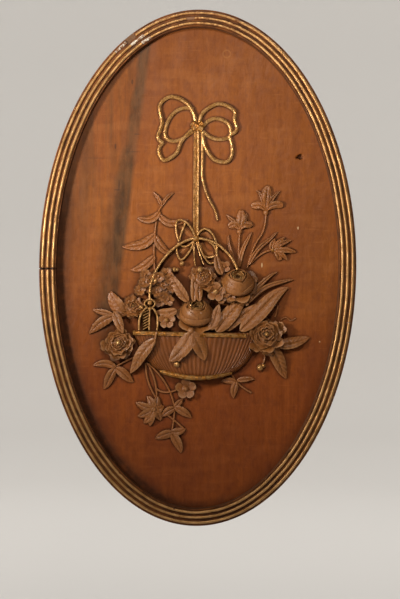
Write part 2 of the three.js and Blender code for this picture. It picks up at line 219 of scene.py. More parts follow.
def rooted(top, share, material):
    """A closed solid under a grid of points: its long sides run down into the board, drawn in a little."""
    n, m = top.shape[:2]
    middle = (top[:, :1] + top[:, -1:]) / 2
    edges = middle + (top[:, [0, -1]] - middle) * share
    edges[..., 2] = -ROOT
    vertices = np.concatenate([top.reshape(-1, 3), edges.reshape(-1, 3)])
    index = np.arange(n * m).reshape(n, m)
    left = n * m + 2 * np.arange(n)
    right = left + 1
    quads = [
        sheet(index),
        (index[:-1, 0], left[:-1], left[1:], index[1:, 0]),
        (index[:-1, -1], index[1:, -1], right[1:], right[:-1]),
        (left[:-1], right[:-1], right[1:], left[1:]),
    ]
    faces = faces_of(quads)
    faces.append((*index[0].tolist(), int(right[0]), int(left[0])))
    faces.append((*index[-1, ::-1].tolist(), int(left[-1]), int(right[-1])))
    keep(vertices, faces, material)


def turned(at, profile, segments, material, tilt=0.0, base=0.0):
    """A solid of revolution: profile rows of (radius, height), first and last on the axis."""
    rows = len(profile) - 2
    angles = np.arange(segments) * 2 * math.pi / segments
    vertices = [(0, 0, profile[0][1])]
    for radius, height in profile[1:-1]:
        vertices += [(radius * math.cos(a), radius * math.sin(a), height) for a in angles]
    vertices.append((0, 0, profile[-1][1]))
    last = len(vertices) - 1
    faces = []
    for i in range(segments):
        j = (i + 1) % segments
        faces.append((0, 1 + i, 1 + j))
        for row in range(rows - 1):
            a, b = 1 + row * segments, 1 + (row + 1) * segments
            faces.append((a + i, b + i, b + j, a + j))
        end = 1 + (rows - 1) * segments
        faces.append((last, end + j, end + i))
    keep(stand(np.array(vertices), at, base, tilt), faces, material)


def scaled(rows, size):
    """Profile rows that were given as shares of a size."""
    return [(radius * size, height * size) for radius, height in rows]


def stand(points, at, base, tilt):
    """Tips a bloom upward and places it on the panel."""
    x, y, w = points[..., 0], points[..., 1], points[..., 2]
    up = y * math.cos(tilt) + w * math.sin(tilt)
    out = w * math.cos(tilt) - y * math.sin(tilt)
    return np.stack([x + at[0], up + at[1], np.maximum(out + base, -ROOT)], -1)


def ball(at, radius, top, material=GILT):
    """A round bead whose front stands at the height top, on a neck down to the ground."""
    centre = top - radius
    profile = [(0, -ROOT), (radius * 0.55, -ROOT), (radius * 0.55, max(centre - radius, -1))]
    for i in range(1, 8):
        angle = -math.pi / 2 + math.pi * i / 8
        profile.append((radius * math.cos(angle), centre + radius * math.sin(angle)))
    profile.append((0, top))
    turned(at, profile, 16, material)


def line(points, step):
    """Points, directions and run along a smooth curve through points, about step apart."""
    p = np.asarray(points, float)
    if len(p) == 2:
        p = np.array([p[0], (p[0] + p[1]) / 2, p[1]])
    knots = np.concatenate([[0], np.cumsum(np.linalg.norm(np.diff(p, axis=0), axis=1) ** 0.5)])
    slope = np.gradient(p, knots, axis=0, edge_order=2)
    dense = []
    for i in range(len(p) - 1):
        h = knots[i + 1] - knots[i]
        t = np.linspace(0, 1, 40, endpoint=i == len(p) - 2)[:, None]
        dense.append((2 * t**3 - 3 * t**2 + 1) * p[i] + (t**3 - 2 * t**2 + t) * h * slope[i]
                     + (3 * t**2 - 2 * t**3) * p[i + 1] + (t**3 - t**2) * h * slope[i + 1])
    dense = np.concatenate(dense)
    run = np.concatenate([[0], np.cumsum(np.linalg.norm(np.diff(dense, axis=0), axis=1))])
    count = max(3, int(round(run[-1] / step)) + 1)
    s = np.linspace(0, run[-1], count)
    places = np.stack([np.interp(s, run, dense[:, k]) for k in range(dense.shape[1])], 1)
    direction = np.gradient(places, s, axis=0, edge_order=2)[:, :2]
    direction /= np.linalg.norm(direction, axis=1)[:, None]
    return places, direction, s


def strip(points, width, height, material, relief, step=2.0, across=9, end_width=None, under=0.7):
    """A carved band along a curve. relief(a, s) is its raised texture at a across and run s."""
    places, direction, s = line(points, step)
    a = np.sin(np.linspace(-math.pi / 2, math.pi / 2, across))
    share = (s / s[-1])[:, None]
    full = width + ((end_width or width) - width) * share
    height = places[:, 2:3] if places.shape[1] > 2 else np.full_like(full, height)
    side = np.stack([-direction[:, 1], direction[:, 0]], 1)
    offset = full / 2 * a[None, :]
    crown = np.sqrt(1 - 0.92 * a[None, :] ** 2)
    top_height = height - full * 0.54 * (1 - crown) + relief(a[None, :], s[:, None])
    top = np.empty((len(s), across, 3))
    top[..., :2] = places[:, None, :2] + side[:, None, :] * offset[..., None]
    top[..., 2] = top_height
    rooted(top, under, material)


def plain(a, s):
    """No texture."""
    return 0 * a * s


def rope(a, s):
    """Twisted strands across a cord."""
    return -1.0 * np.abs(np.sin(math.pi * (s / 5.2 + 0.5 * a))) ** 3 + 0 * a


def plait(a, s):
    """Strands that meet in small chevrons."""
    return -1.1 * np.abs(np.sin(math.pi * (s / 6 - 0.6 * np.abs(a)))) ** 3 - 0.8 * np.exp(-((a / 0.14) ** 2))


def reeds(a, s):
    """Two reeds with a groove between them and a beaded edge."""
    groove = -1.8 * np.exp(-((a / 0.16) ** 2))
    beads = -0.8 * np.abs(np.sin(math.pi * s / 3.8)) ** 3 * smooth(0.35, 0.7, np.abs(a))
    return groove + beads


def woven(a, s):
    """A ribbon's knurled edges beside a rib that is cut across in places."""
    groove = -0.7 * np.exp(-(((np.abs(a) - 0.45) / 0.16) ** 2))
    knurl = -1.2 * np.abs(np.sin(math.pi * (s / 5.2 + 0.5 * a))) ** 2 * smooth(0.25, 0.7, np.abs(a))
    swing = 0.35 + 0.65 * smooth(0.0, 0.7, np.sin(s / 15 + 0.6))
    cuts = -0.7 * np.abs(np.sin(math.pi * (s / 5.2 + 0.7 * a))) ** 3 * swing * smooth(0.8, 0.3, np.abs(a))
    return groove + knurl + cuts


def stem(points, width, height, step=4.0):
    """A plain round stalk."""
    strip(points, width, height, WOOD, plain, step, 7, None, 0.8)


LEAF_OUTLINES = {"long": (0.5, 0.74), "broad": (0.44, 0.62), "thin": (0.36, 0.6), "round": (0.6, 0.36)}


def leaf(base, tip, width, bend, near, far, kind="long", veins=6):
    """A carved leaf from base to tip: bend pushes its middle to the left, near and far are heights."""
    base, tip = np.asarray(base, float), np.asarray(tip, float)
    along = tip - base
    length = np.linalg.norm(along)
    left = np.array([-along[1], along[0]]) / length
    hook = random.uniform(-0.035, 0.035) * length
    before_tip = base + along * 0.8 + left * (bend * 0.62 + hook)
    path = [base, base + along * 0.42 + left * bend, before_tip, tip]
    count = int(np.clip(length / 2.4, 13, 42))
    places, direction, s = line(path, length / count)
    u = (s / s[-1])[:, None]
    foot_power, tip_power = LEAF_OUTLINES[kind]
    widest = foot_power / (foot_power + tip_power)
    outline = (u / widest) ** foot_power * ((1 - u) / (1 - widest)) ** tip_power
    outline = np.maximum(outline, 0.08)
    a = np.linspace(-1, 1, 11)[None, :]
    lopsided = 1 + random.uniform(-0.1, 0.1) * np.sign(a)
    notches = np.sin(2 * math.pi * veins * u + random.uniform(0, 6) + 1.5 * np.sign(a))
    scallop = 1 + 0.012 * notches * np.abs(a)
    half = width / 2 * outline * scallop * lopsided
    side = np.stack([-direction[:, 1], direction[:, 0]], 1)
    arch = 0.07 * length * np.sin(math.pi * u) * min(1, 45 / length)
    face = near + (far - near) * u + arch
    roll = random.uniform(0.12, 0.42) * random.choice([-1, 1])
    size = width * outline
    puff = 0.035 * size * np.sin(math.pi * np.clip(np.abs(a) * 1.15, 0, 1)) - 0.035 * size * np.abs(a) ** 6
    midrib = -(0.025 * width + 0.9) * np.exp(-((a * half / 1.3) ** 2)) * smooth(1.02, 0.7, u)
    vein_phase = veins * (u - 0.5 * np.abs(a) * width / max(length, 30))
    vein_depth = 0.55 + 1.3 * smooth(14, 34, width)
    vein = -vein_depth * np.abs(np.cos(math.pi * vein_phase)) ** 4 * smooth(0.02, 0.2, np.abs(a))
    vein = vein * smooth(0.05, 0.2, u) * smooth(0.97, 0.8, u) * smooth(9, 15, size)
    ripple = 0.035 * size * a * np.sin(2 * math.pi * (1.4 * u + random.uniform(0, 1)))
    twist = roll * a * half * np.sin(math.pi * u) + ripple
    top = np.empty((len(s), a.shape[1], 3))
    top[..., :2] = places[:, None, :2] + side[:, None, :] * (half * a)[..., None]
    top[..., 2] = np.maximum(face + puff + midrib + vein + twist, 1.2)
    rooted(top, 0.8, WOOD)


def petal(at, base, tilt, centre_angle, spread, low, high, thickness, bulge, curl, frill, material,
          across):
    """One petal of a bloom: low and high are (radius, height) of its foot and rim."""
    s = np.linspace(0, 1, 7 if across > 7 else 5)[:, None]
    v = np.linspace(-1, 1, across)[None, :]
    reach = s * (1 - 0.3 * np.abs(v) ** 2.6)
    width = spread * (0.6 + 0.4 * np.sin(0.5 * math.pi * s)) * v
    angle = centre_angle + width
    ruffle = frill * reach**2 * np.sin(4.2 * v + 9 * centre_angle)
    radius = low[0] + (high[0] - low[0]) * reach + bulge * np.sin(math.pi * reach) + curl * reach**7 + ruffle
    height = low[1] + (high[1] - low[1]) * reach**0.8 - 0.5 * curl * reach**9 + 0.7 * ruffle
    outer = np.stack([radius * np.cos(angle), radius * np.sin(angle), height + 0 * radius], -1)
    thin = thickness * (1 - 0.45 * reach)
    inner_radius = np.maximum(radius - thin, 0.2)
    inner_height = height - 0.35 * thin * (high[0] > low[0] + 4)
    inner = [inner_radius * np.cos(angle), inner_radius * np.sin(angle), inner_height + 0 * radius]
    slab(stand(outer, at, base, tilt), stand(np.stack(inner, -1), at, base, tilt), material)


def petal_ring(at, base, tilt, count, start, overlap, low, high, thickness, bulge, curl, frill=0.0,
               material=WOOD, across=9, ragged=0.05):
    """A ring of overlapping petals, each a little off its even place."""
    for i in range(count):
        centre_angle = start + 2 * math.pi * i / count + random.uniform(-1.4, 1.4) * ragged
        lift = random.uniform(-1.2, 1.2) * ragged * max(abs(high[1] - low[1]), 6)
        rim = (high[0] * (1 + random.uniform(-1, 1) * ragged * 0.8), high[1] + lift)
        petal(at, base, tilt, centre_angle, overlap * math.pi / count, low, rim, thickness, bulge, curl,
              frill, material, across)


def cup_rose(at, radius, base, tilt, start):
    """A cabbage rose: a ball of wrapped petals, open at the top on a gilt, hollow heart."""
    r = radius
    core = [(0, -1), (0.5, -0.8), (0.82, -0.35), (0.86, 0), (0.74, 0.3), (0.5, 0.36), (0.25, 0.3), (0, 0.22)]
    turned(at, scaled(core, r), 24, WOOD, tilt, base)
    rings = [
        (4, 0.3, 1.25, (0.72, -0.66), (0.86, 0.2), 3.6, 0.3, 4.5, 0.4, WOOD, 10),
        (3, 0.0, 1.3, (0.72, -0.6), (0.62, 0.5), 3.4, 0.3, 2.4, 0.2, WOOD, 11),
        (3, 1.0, 1.3, (0.68, -0.4), (0.55, 0.6), 3.2, 0.22, 2.0, 0.2, WOOD, 11),
        (4, 0.4, 1.2, (0.54, 0.0), (0.46, 0.68), 2.6, 0.06, 1.3, 0.4, WOOD, 8),
        (5, 1.1, 1.15, (0.4, 0.15), (0.35, 0.62), 2.6, 0.03, 0.8, 0.8, GILT, 8),
        (4, 0.2, 1.1, (0.24, 0.1), (0.2, 0.5), 2.6, 0.02, 0.5, 0.6, GILT, 8),
    ]
    for count, turn, overlap, low, high, thickness, bulge, curl, frill, material, across in rings:
        foot, rim = (r * low[0], r * low[1]), (r * high[0], r * high[1])
        petal_ring(at, base, tilt, count, start + turn, overlap, foot, rim, thickness, r * bulge, curl, frill,
                   material, across)
    bowl = [(0, -0.5), (0.44, -0.5), (0.46, 0.42), (0.3, 0.38), (0.12, 0.2), (0, 0.16)]
    turned(at, scaled(bowl, r), 20, GILT, tilt, base)


def full_rose(at, radius, base, tilt, start, rings=6, frill=2.4, heart=6):
    """A rose of many ruffled petals round a gilt bead."""
    r = radius
    core = [(0, -0.7), (0.5, -0.6), (0.82, -0.16), (0.7, 0.05), (0.5, 0.22), (0.3, 0.31), (0, 0.36)]
    turned(at, scaled(core, r), 24, WOOD, tilt, base)
    for ring in range(rings):
        t = ring / (rings - 1)
        rim = r * (1.0 - 0.74 * t)
        foot = rim * (0.6 + 0.2 * t)
        high = r * (0.0 + 0.5 * t**0.75)
        low = high - r * (0.36 - 0.08 * t)
        petal_ring(at, base, tilt, 11 - ring, start + 0.7 * ring, 1.2, (foot, low), (rim, high),
                   3.4, r * 0.06, 2.6 * (1 - t), frill * (1 - 0.4 * t), WOOD, 7, 0.24)
    neck = [(0, 0), (heart * 0.6, 0), (heart * 0.7, r * 0.3)]
    for i in range(6):
        angle = -0.6 + (math.pi / 2 + 0.6) * i / 6
        neck.append((heart * math.cos(angle), r * 0.4 + heart * math.sin(angle)))
    neck.append((0, r * 0.4 + heart))
    turned(at, neck, 16, GILT, tilt, base)


def open_flower(at, radius, height, petals=5, start=0.0, tilt=0.0, heart=0.2, gilt_heart=False, cup=0.1):
    """A small open flower of round petals."""
    r = radius
    small = radius < 15
    stalk = [(0, -height - ROOT), (r * 0.5, -height - ROOT)]
    stalk += scaled([(0.42, -0.1), (0.2, 0.02), (0, 0.04)], r)
    turned(at, stalk, 9 if small else 14, WOOD, tilt, height)
    petal_ring(at, height, tilt, petals, start, 0.98, (r * 0.16, -r * 0.16), (r, r * cup), 3.4, 0.4, 0.8, 0.5,
               WOOD, 7 if small else 9)
    bead = r * heart
    dome = [(0, -r * 0.2), (bead, -r * 0.2)]
    dome += scaled([(1, 0.3), (0.8, 0.8), (0.4, 1.1), (0, 1.2)], bead)
    turned(at, dome, 8 if small else 12, GILT if gilt_heart else WOOD, tilt, height)


# The relief, from the top of the panel down

BOW_RIBBON = 9
THIN_RIBBON = 4.8
STEM = 4.5


def upper_bow():
    """Three loops each side of the knot, a double band down to the handle and one loose tail."""
    w = BOW_RIBBON
    loops = [
        [[-14, 386], [-47, 385], [-73, 360], [-81, 318], [-61, 307], [-14, 333]],
        [[5, 338], [37, 363], [71, 351], [76, 321], [44, 313], [10, 332]],
        [[-16, 334], [-42, 307], [-55, 277], [-85, 261], [-97, 284], [-86, 304]],
        [[10, 330], [15, 296], [39, 263], [70, 259], [81, 277], [74, 320]],
        [[-7, 350], [-29, 399], [-70, 415], [-95, 395], [-90, 350], [-99, 315], [-86, 303]],
        [[2, 350], [10, 377], [50, 399], [87, 380], [86, 362], [92, 337], [80, 326]],
    ]
    heights = [6.5, 6.5, 8, 8, 8.5, 8.5]
    for points, height in zip(loops, heights):
        strip(points, w, height, GILT, woven, 1.7, 9)
    strip([[-8.5, 340], [-8.4, 230], [-8.6, 80]], 8, 8, GILT, reeds, 1.6, 9, 7.6)
    strip([[-1.6, 340], [-1.4, 230], [-1.4, 80]], 7, 8, GILT, plait, 1.6, 9, 7)
    strip([[8, 336], [9.5, 268], [9.5, 222], [22, 176], [40, 142], [47, 116]], 9, 7, GILT, woven, 1.7, 9, 5)
    for lean in (-1, 1):
        strip([[-4 - 13 * lean, 336], [-4, 343], [-4 + 13 * lean, 352]], 15, 12.5 - lean, DULL, plait, 1.6, 9)


def lower_bow():
    """The small bow of thin gilt bands that ties the handle."""
    w = THIN_RIBBON
    tie = [-5, 71]
    hollows = [
        [[-12, 76], [-34, 92], [-48, 100]],
        [[4, 80], [22, 84], [36, 62]],
        [[6, 60], [24, 36], [38, 34]],
        [[-14, 62], [-32, 44], [-42, 36]],
    ]
    for points in hollows:
        strip(points, 17, 3.2, WOOD, plain, 3, 5)
    edges = [
        [tie, [-30, 111], [-50, 114], [-53, 92], [-46, 64]],
        [[-30, 110], [-41, 82], [-46, 64]],
        [tie, [14, 94], [30, 88], [43, 66], [46, 38]],
        [[0, 68], [12, 33], [30, 11], [46, 20], [40, 52], [27, 63]],
        [[7, 56], [16, 29], [40, 28]],
        [[-10, 66], [-21, 38], [-41, 19], [-51, 40], [-47, 59]],
        [[-47, 60], [-32, 51], [-12, 64]],
    ]
    heights = [12, 9, 12, 12, 9, 12, 9]
    for points, height in zip(edges, heights):
        strip(points, w, height, GILT, plain, 2.5, 7)
    strip([[-9, 66, 9], [-9, 36, 14], [-6, 4, 24]], w, 0, GILT, plain, 3, 7, 2.5)
    strip([[-4, 66, 9], [4, 36, 14], [14, 8, 22]], w, 0, GILT, plain, 3, 7, 2.5)
    knot = [(0, -ROOT), (8, -ROOT), (9, 8), (8, 13.5), (5, 16), (0, 17)]
    turned(tie, knot, 14, DULL)
    for side in (-1, 1):
        cord = [[tie[0] + 7 * i, tie[1] + (5 - 2 * abs(i)) * side] for i in (-1, 0, 1)]
        strip(cord, 3, 16, DULL, plain, 2, 5)


def handle():
    """The twisted handle and its pierced foot on the rim."""
    arch = [[-115, -77, 31], [-112, -38, 28], [-89, 12, 21], [-50, 53, 17], [-8, 71, 15], [38, 62, 16],
            [74, 34, 20], [96, -4, 32]]
    strip(arch, 5.8, 0, GILT, rope, 1.8, 7, None, 0.5)
    foot = 31
    bands = [
        ([[-115, -76], [-128, -87], [-121, -97]], 4.2, 3, 2),
        ([[-115, -76], [-102, -87], [-110, -97]], 4.2, 3, 2),
        ([[-121, -97], [-136, -114], [-140, -152]], 4.8, 0, 2),
        ([[-110, -97], [-98, -114], [-97, -152]], 4.8, 0, 2),
        ([[-115, -96], [-116, -152]], 4, 2, 2.5),
    ]
    for points, width, drop, step in bands:
        strip(points, width, foot - drop, GILT, plain, step, 7)
    ball([-115, -100], 5, foot + 2)
    ball([-115, -86], 6.5, foot - 2)
    ball([-134, -98], 3.5, foot)
    for i in range(7):
        z = -105 - 6.6 * i
        strip([[-133 + min(i, 2), z - 6], [-117, z + 2]], 2.6, foot - 4, GILT, plain, 2.5, 5)


BASKET_TOP = -157
BASKET_FOOT = -250
BASKET_HALF_TOP = 156
BASKET_HALF_FOOT = 84
BASKET_EDGE = 6
BASKET_BULGE = 34
FLUTES = 36
RIM_HEIGHT = 10
RIM_LENGTH = 274
RIM_FALL = 5
BAR_LEFT = -90
BAR_LENGTH = 176


def basket_half_width(v):
    """Half the bowl's width at a share v of its height."""
    return BASKET_HALF_FOOT + (BASKET_HALF_TOP - BASKET_HALF_FOOT) * v**0.5


def basket_height(u, v):
    """How far the bowl stands out at a share u of its half width and v of its height."""
    return BASKET_EDGE + BASKET_BULGE * np.sqrt(np.maximum(0, 1 - u * u)) * (0.5 + 0.5 * v**0.6)


def basket_sag(x):
    """How far the bowl's lower edge and the foot bar hang below the bar's ends."""
    share = np.clip((x + 87) / 172, 0, 1)
    return 13 * np.sin(math.pi * share) + 3 * share


def basket():
    """The fluted boat-shaped basket with its gilt rim and foot bar."""
    along = np.linspace(0, 1, FLUTES * 6 + 1)[:, None]
    v = np.linspace(0, 1, 14)[None, :] ** 1.6
    u = -np.cos(math.pi * along) + 0 * v
    flute = np.abs(np.cos(math.pi * FLUTES * along))
    groove = -1.5 * flute**3 * smooth(-0.05, 0.06, v)
    x = u * basket_half_width(v)
    z = BASKET_FOOT + (BASKET_TOP - BASKET_FOOT) * v - basket_sag(x) * (1 - v) ** 1.5
    rooted(np.stack([x, z, basket_height(u, v) + groove], -1), 1, BASKET)

    along = np.linspace(0, 1, 120)[:, None]
    a = np.linspace(-1, 1, 9)[None, :]
    x = -BASKET_HALF_TOP + RIM_LENGTH * along + 0 * a
    z = BASKET_TOP - 2 + a * RIM_HEIGHT / 2 - RIM_FALL * along
    worn = unevenness(x, z, 14, 6)
    bead = 2.4 * (1 - a**6) + 1.4 - 0.9 * np.exp(-(((np.abs(a) - 0.55) / 0.14) ** 2)) + 0.5 * worn
    out = basket_height(x / (BASKET_HALF_TOP + 2), 1) + bead
    rooted(np.stack([x, z, out], -1), 1, DULL)

    along = np.linspace(0, 1, 60)[:, None]
    a = np.linspace(-1, 1, 9)[None, :]
    x = BAR_LEFT + BAR_LENGTH * along + 0 * a
    blunt = np.sqrt(1 - 0.8 * (2 * along - 1) ** 8) * (1.15 - 0.3 * along)
    z = BASKET_FOOT - 2 - basket_sag(x) + 5.4 * a * blunt
    out = 12 + 20 * np.sin(math.pi * along) + 4.5 * np.sqrt(1 - 0.95 * a**2) + 0.4 * unevenness(x, z, 9, 6)
    rooted(np.stack([x, z, out], -1), 1, DULL)


def blooms():
    """The big blooms of the bouquet."""
    up = math.radians(50)
    cup_rose([-2, -107], 39, 18, up, 1.35)
    petal_ring([-2, -118], 20, 0.5, 7, 0.2, 1.15, (20, -8), (48, 2), 3.2, 1, 2.5, 1.2)
    ball([-15, -153], 9, 48, WOOD)
    cup_rose([98, -33], 38, 15, math.radians(46), 1.0)
    petal_ring([98, -40], 15, 0.45, 7, 0.6, 1.15, (20, -8), (47, 3), 3.2, 1, 3, 1.4)
    full_rose([168, -162], 43, 21, 0.16, 0.2)
    full_rose([-190, -184], 37, 20, 0.08, 0.7, 6, 2.2, 7)
    full_rose([-155, -96], 28, 13, 0.3, 0.4, 5, 2.6, 3)
    full_rose([13, -25], 32, 22, 0.45, 0.3, 5, 1.8, 3)
    ball([6, -4], 7, 42)
    open_flower([44, -58], 23, 32, 5, 0.2, 0.2, 0.3, True)
    open_flower([-74, -128], 20, 28, 5, 0.3, 0.1, 0.24, True)


def florets():
    """Small round florets in clusters."""
    left = [[-127, -18], [-130, -38], [-94, -22], [-86, -42], [-98, -60], [-66, -30], [-92, -82]]
    left += [[-76, -14], [-70, -78], [-74, -58], [-110, -30], [-58, -48], [-112, -52]]
    left += [[-140, -56], [-82, -70]]
    right = [[57, -75], [68, -61], [79, -72]]
    for i, at in enumerate(left):
        open_flower(at, 14, 14 + 4 * (i % 3), 5, 0.5 * i, 0.3 * math.sin(2.1 * i), 0.2, False, 0.32)
    for i, at in enumerate(right):
        open_flower(at, 13, 30, 4, 0.7 * i, 0.2, 0.2, False, 0.3)


def bouquet_leaves():
    """Leaves and buds inside the bouquet."""
    leaf([-22, -82], [-63, -12], 25, 4, 30, 22, "long", 7)
    leaf([-50, -102], [-99, -106], 22, 5, 26, 20, "broad")
    leaf([-9, -82], [-12, -14], 18, -3, 34, 26)
    leaf([5, -82], [8, -20], 17, 3, 34, 26)
    leaf([31, -150], [53, -88], 24, -2, 34, 28)
    leaf([46, -154], [123, -72], 39, 5, 34, 16, "long", 9)
    leaf([104, -152], [220, -46], 39, 5, 30, 6, "long", 11)
    leaf([72, -152], [162, -78], 24, 6, 25, 10, "long", 7)
    leaf([118, -92], [193, -8], 11, 9, 20, 5, "thin")
    leaf([124, -84], [233, -27], 11, 14, 16, 4, "thin")
    leaf([59, -16], [43, 34], 19, 2, 18, 10)
    ball([-38, 10], 6, 16)
    ball([-57, -5], 6, 16)
    ball([-50, -5], 4.5, 15)
    ball([-103, -33], 6, 26)
    ball([-136, -97], 6, 26)


def left_spray():
    """The leafy spray at the upper left."""
    stem([[-104, -9], [-106, 60], [-98, 130], [-88, 150]], STEM, 4)
    leaf([-89, 148], [-110, 184], 8, -3, 4, 2, "thin")
    leaf([-88, 150], [-59, 182], 8, 4, 4, 2, "thin")
    leaf([-93, 136], [-148, 121], 17, 12, 4, 2)
    leaf([-98, 130], [-24, 117], 17, -17, 4, 2)
    leaf([-104, 82], [-184, 50], 23, 13, 4, 2)
    leaf([-104, 78], [-61, 35], 19, -8, 4, 3)
    leaf([-105, 29], [-163, -6], 20, 8, 4, 2)


def far_left_leaves():
    """Leaves round the rose at the far left, and the one laid over the end of the basket."""
    leaf([-200, -121], [-254, -103], 15, -2, 13, 4)
    leaf([-202, -119], [-262, -162], 24, -6, 14, 4)
    leaf([-174, -117], [-209, -59], 34, 5, 12, 4, "broad")
    leaf([-203, -108], [-179, -160], 22, 2, 18, 28)
    stem([[-141, -213], [-187, -236], [-203, -247]], STEM, 6)
    leaf([-197, -243], [-252, -239], 18, -7, 9, 4)
    leaf([-199, -246], [-226, -296], 22, 0, 10, 4)
    leaf([-197, -245], [-154, -279], 22, 2, 10, 4)
    stem([[-98, -156], [-103, -180], [-110, -196]], STEM, 42)
    leaf([-101, -174], [-161, -257], 29, -5, 42, 12, "long", 8)


def iris(at, standard, wings, falls):
    """An iris: an upright fan, narrow wings and rounded falls about its calyx."""
    x, z = at
    leaf([x, z + 8], standard, 20, 0, 7, 4, "round", 5)
    leaf([x - 3, z + 10], [standard[0] - 9, standard[1] - 7], 10, 2, 5, 3)
    leaf([x + 3, z + 10], [standard[0] + 9, standard[1] - 7], 10, -2, 5, 3)
    for tip in wings:
        leaf([x, z + 6], tip, 10, 3 if tip[0] > x else -3, 6, 3)
    for tip in falls:
        leaf([x, z + 4], tip, 17, 9 if tip[0] > x else -9, 6, 5, "round", 4)
    ball([x, z], 7, 8, WOOD)


def irises():
    """Irises and grass at the upper right."""
    stem([[120, 0], [139, 57], [158, 90], [165, 133]], STEM, 5)
    iris([165, 136], [166, 201], [[141, 189], [198, 188]], [[130, 148], [206, 150]])
    stem([[97, 3], [100, 52], [101, 88]], STEM, 5)
    iris([101, 89], [108, 141], [[67, 130]], [[75, 99], [132, 103]])
    stem([[130, 13], [160, 38], [180, 44]], STEM, 5)
    leaf([180, 43], [187, 73], 13, 3, 9, 5)
    leaf([184, 45], [210, 76], 12, 3, 8, 4, "thin")
    leaf([184, 45], [227, 69], 12, 4, 8, 4)
    leaf([184, 43], [239, 40], 14, 4, 9, 4)
    leaf([184, 42], [197, 20], 15, 5, 9, 5, "round")
    leaf([190, 42], [218, 20], 10, 3, 8, 4)
    ball([182, 45], 5.5, 11, DULL)
    leaf([90, 3], [75, 81], 8, 2, 8, 3, "thin")
    leaf([102, 3], [131, 88], 10, 7, 8, 3, "thin")
    leaf([124, 8], [192, 89], 10, 7, 8, 3, "thin")
    open_flower([65, 3], 14, 12, 4, 0.8)


def right_leaves():
    """Leaves, bud and tendrils round the rose at the right."""
    leaf([192, -186], [273, -167], 27, -3, 16, 4, "long", 8)
    leaf([174, -184], [217, -267], 32, 3, 18, 5, "long", 8)
    stem([[165, -196], [165, -217], [158, -236]], 4, 8)
    ball([154, -241], 8, 14)
    ball([162, -236], 5, 11)
    stem([[189, -118], [193, -104], [196, -90]], 3.4, 4)
    stem([[203, -125], [216, -119], [227, -126], [239, -120]], 2.6, 3, 3)


def basket_leaves():
    """Two veined leaves and a bud laid over the front of the basket."""
    leaf([-13, -156], [-66, -226], 38, 5, 46, 38, "broad", 9)
    leaf([-17, -158], [19, -223], 35, 5, 45, 40, "broad", 9)
    stem([[-24, -196], [-32, -212], [-44, -226]], STEM, 46)
    ball([-48, -233], 8, 38)


def vines():
    """Trailing vines below the basket."""
    stalks = [
        [[-124, -232], [-116, -282], [-83, -338]],
        [[-121, -232], [-101, -280], [-98, -335]],
        [[-118, -234], [-74, -284], [-53, -341]],
        [[-98, -295], [-78, -303], [-50, -298]],
        [[-53, -339], [-55, -370], [-60, -402]],
        [[-72, -357], [-50, -374], [-28, -394]],
    ]
    for points in stalks:
        stem(points, STEM, 5)
    open_flower([-26, -294], 25, 11, 5, 0.4, 0.1, 0.22)
    heart = [-104, -344]
    tips = [(-148, -328), (-121, -314), (-143, -361), (-113, -385)]
    tips += [(-87, -372), (-80, -336), (-128, -378), (-98, -312)]
    for i, tip in enumerate(tips):
        leaf(heart, tip, 20, 3 * (-1) ** i, 12, 4, "long", 4)
    turned(heart, [(0, -ROOT), (5, -ROOT), (6, 13), (4.5, 16), (2, 16.5), (0, 14.5)], 12, WOOD)
    leaf([-53, -339], [-33, -320], 14, 0, 7, 4)
    leaf([-53, -339], [-13, -365], 19, 2, 7, 4)
    leaf([-53, -341], [-85, -362], 19, -2, 7, 4)
    leaf([-58, -400], [-99, -416], 21, -2, 7, 3)
    leaf([-60, -399], [-26, -391], 18, -2, 7, 4)
    leaf([-60, -401], [-37, -450], 22, 2, 7, 3)
    stem([[80, -246], [97, -276], [133, -302]], STEM, 5)
    leaf([95, -275], [60, -275], 15, -2, 7, 4)
    leaf([96, -276], [90, -316], 17, -2, 7, 4)
    leaf([97, -273], [140, -270], 13, 2, 7, 4)


def on_oval(angle, inset):
    """Points of the oval: angle counter-clockwise from +X, inset inward from the frame's outer edge."""
    a, b = OVAL_WIDTH / 2, OVAL_HEIGHT / 2
    inward = np.stack([-np.cos(angle) / a, -np.sin(angle) / b], -1)
    inward /= np.linalg.norm(inward, axis=-1, keepdims=True)
    return np.stack([a * np.cos(angle), b * np.sin(angle)], -1) + inward * np.asarray(inset)[..., None]


def panel_mesh(name, vertices, faces, materials):
    """A Blender mesh from panel millimetres."""
    mesh = bpy.data.meshes.new(name)
    x, z, height = np.asarray(vertices, float).T
    world = np.stack([x, -(BOARD + height), z], 1) * MM
    mesh.from_pydata(world.tolist(), [], faces)
    for material in materials:
        mesh.materials.append(material)
    return mesh


def carve_relief(materials):
    """Builds every element of the relief and joins them into one closed mesh, rooted in the board."""
    for group in (upper_bow, lower_bow, handle, basket, blooms, florets, bouquet_leaves, left_spray,
                  far_left_leaves, irises, right_leaves, basket_leaves, vines):
        group()
    collection = bpy.data.collections.new("carving")
    bpy.context.scene.collection.children.link(collection)
    parts = []
    for i, (vertices, faces, slot) in enumerate(solids):
        mesh = panel_mesh(f"carving_{i}", vertices, faces, materials)
        mesh.polygons.foreach_set("material_index", [slot] * len(mesh.polygons))
        parts.append(bpy.data.objects.new(mesh.name, mesh))
    relief = parts[0]
    relief.name = "carved_relief"
    bpy.context.scene.collection.objects.link(relief)
    for part in parts[1:]:
        collection.objects.link(part)
    union = relief.modifiers.new("carving", "BOOLEAN")
    union.operation = "UNION"
    union.solver = "MANIFOLD"
    union.operand_type = "COLLECTION"
    union.collection = collection
    graph = bpy.context.evaluated_depsgraph_get()
    joined = bpy.data.meshes.new_from_object(relief.evaluated_get(graph))
    joined.validate()
    relief.modifiers.clear()
    relief.data = joined
    for part in parts[1:]:
        bpy.data.objects.remove(part)
    bpy.data.collections.remove(collection)
    return relief
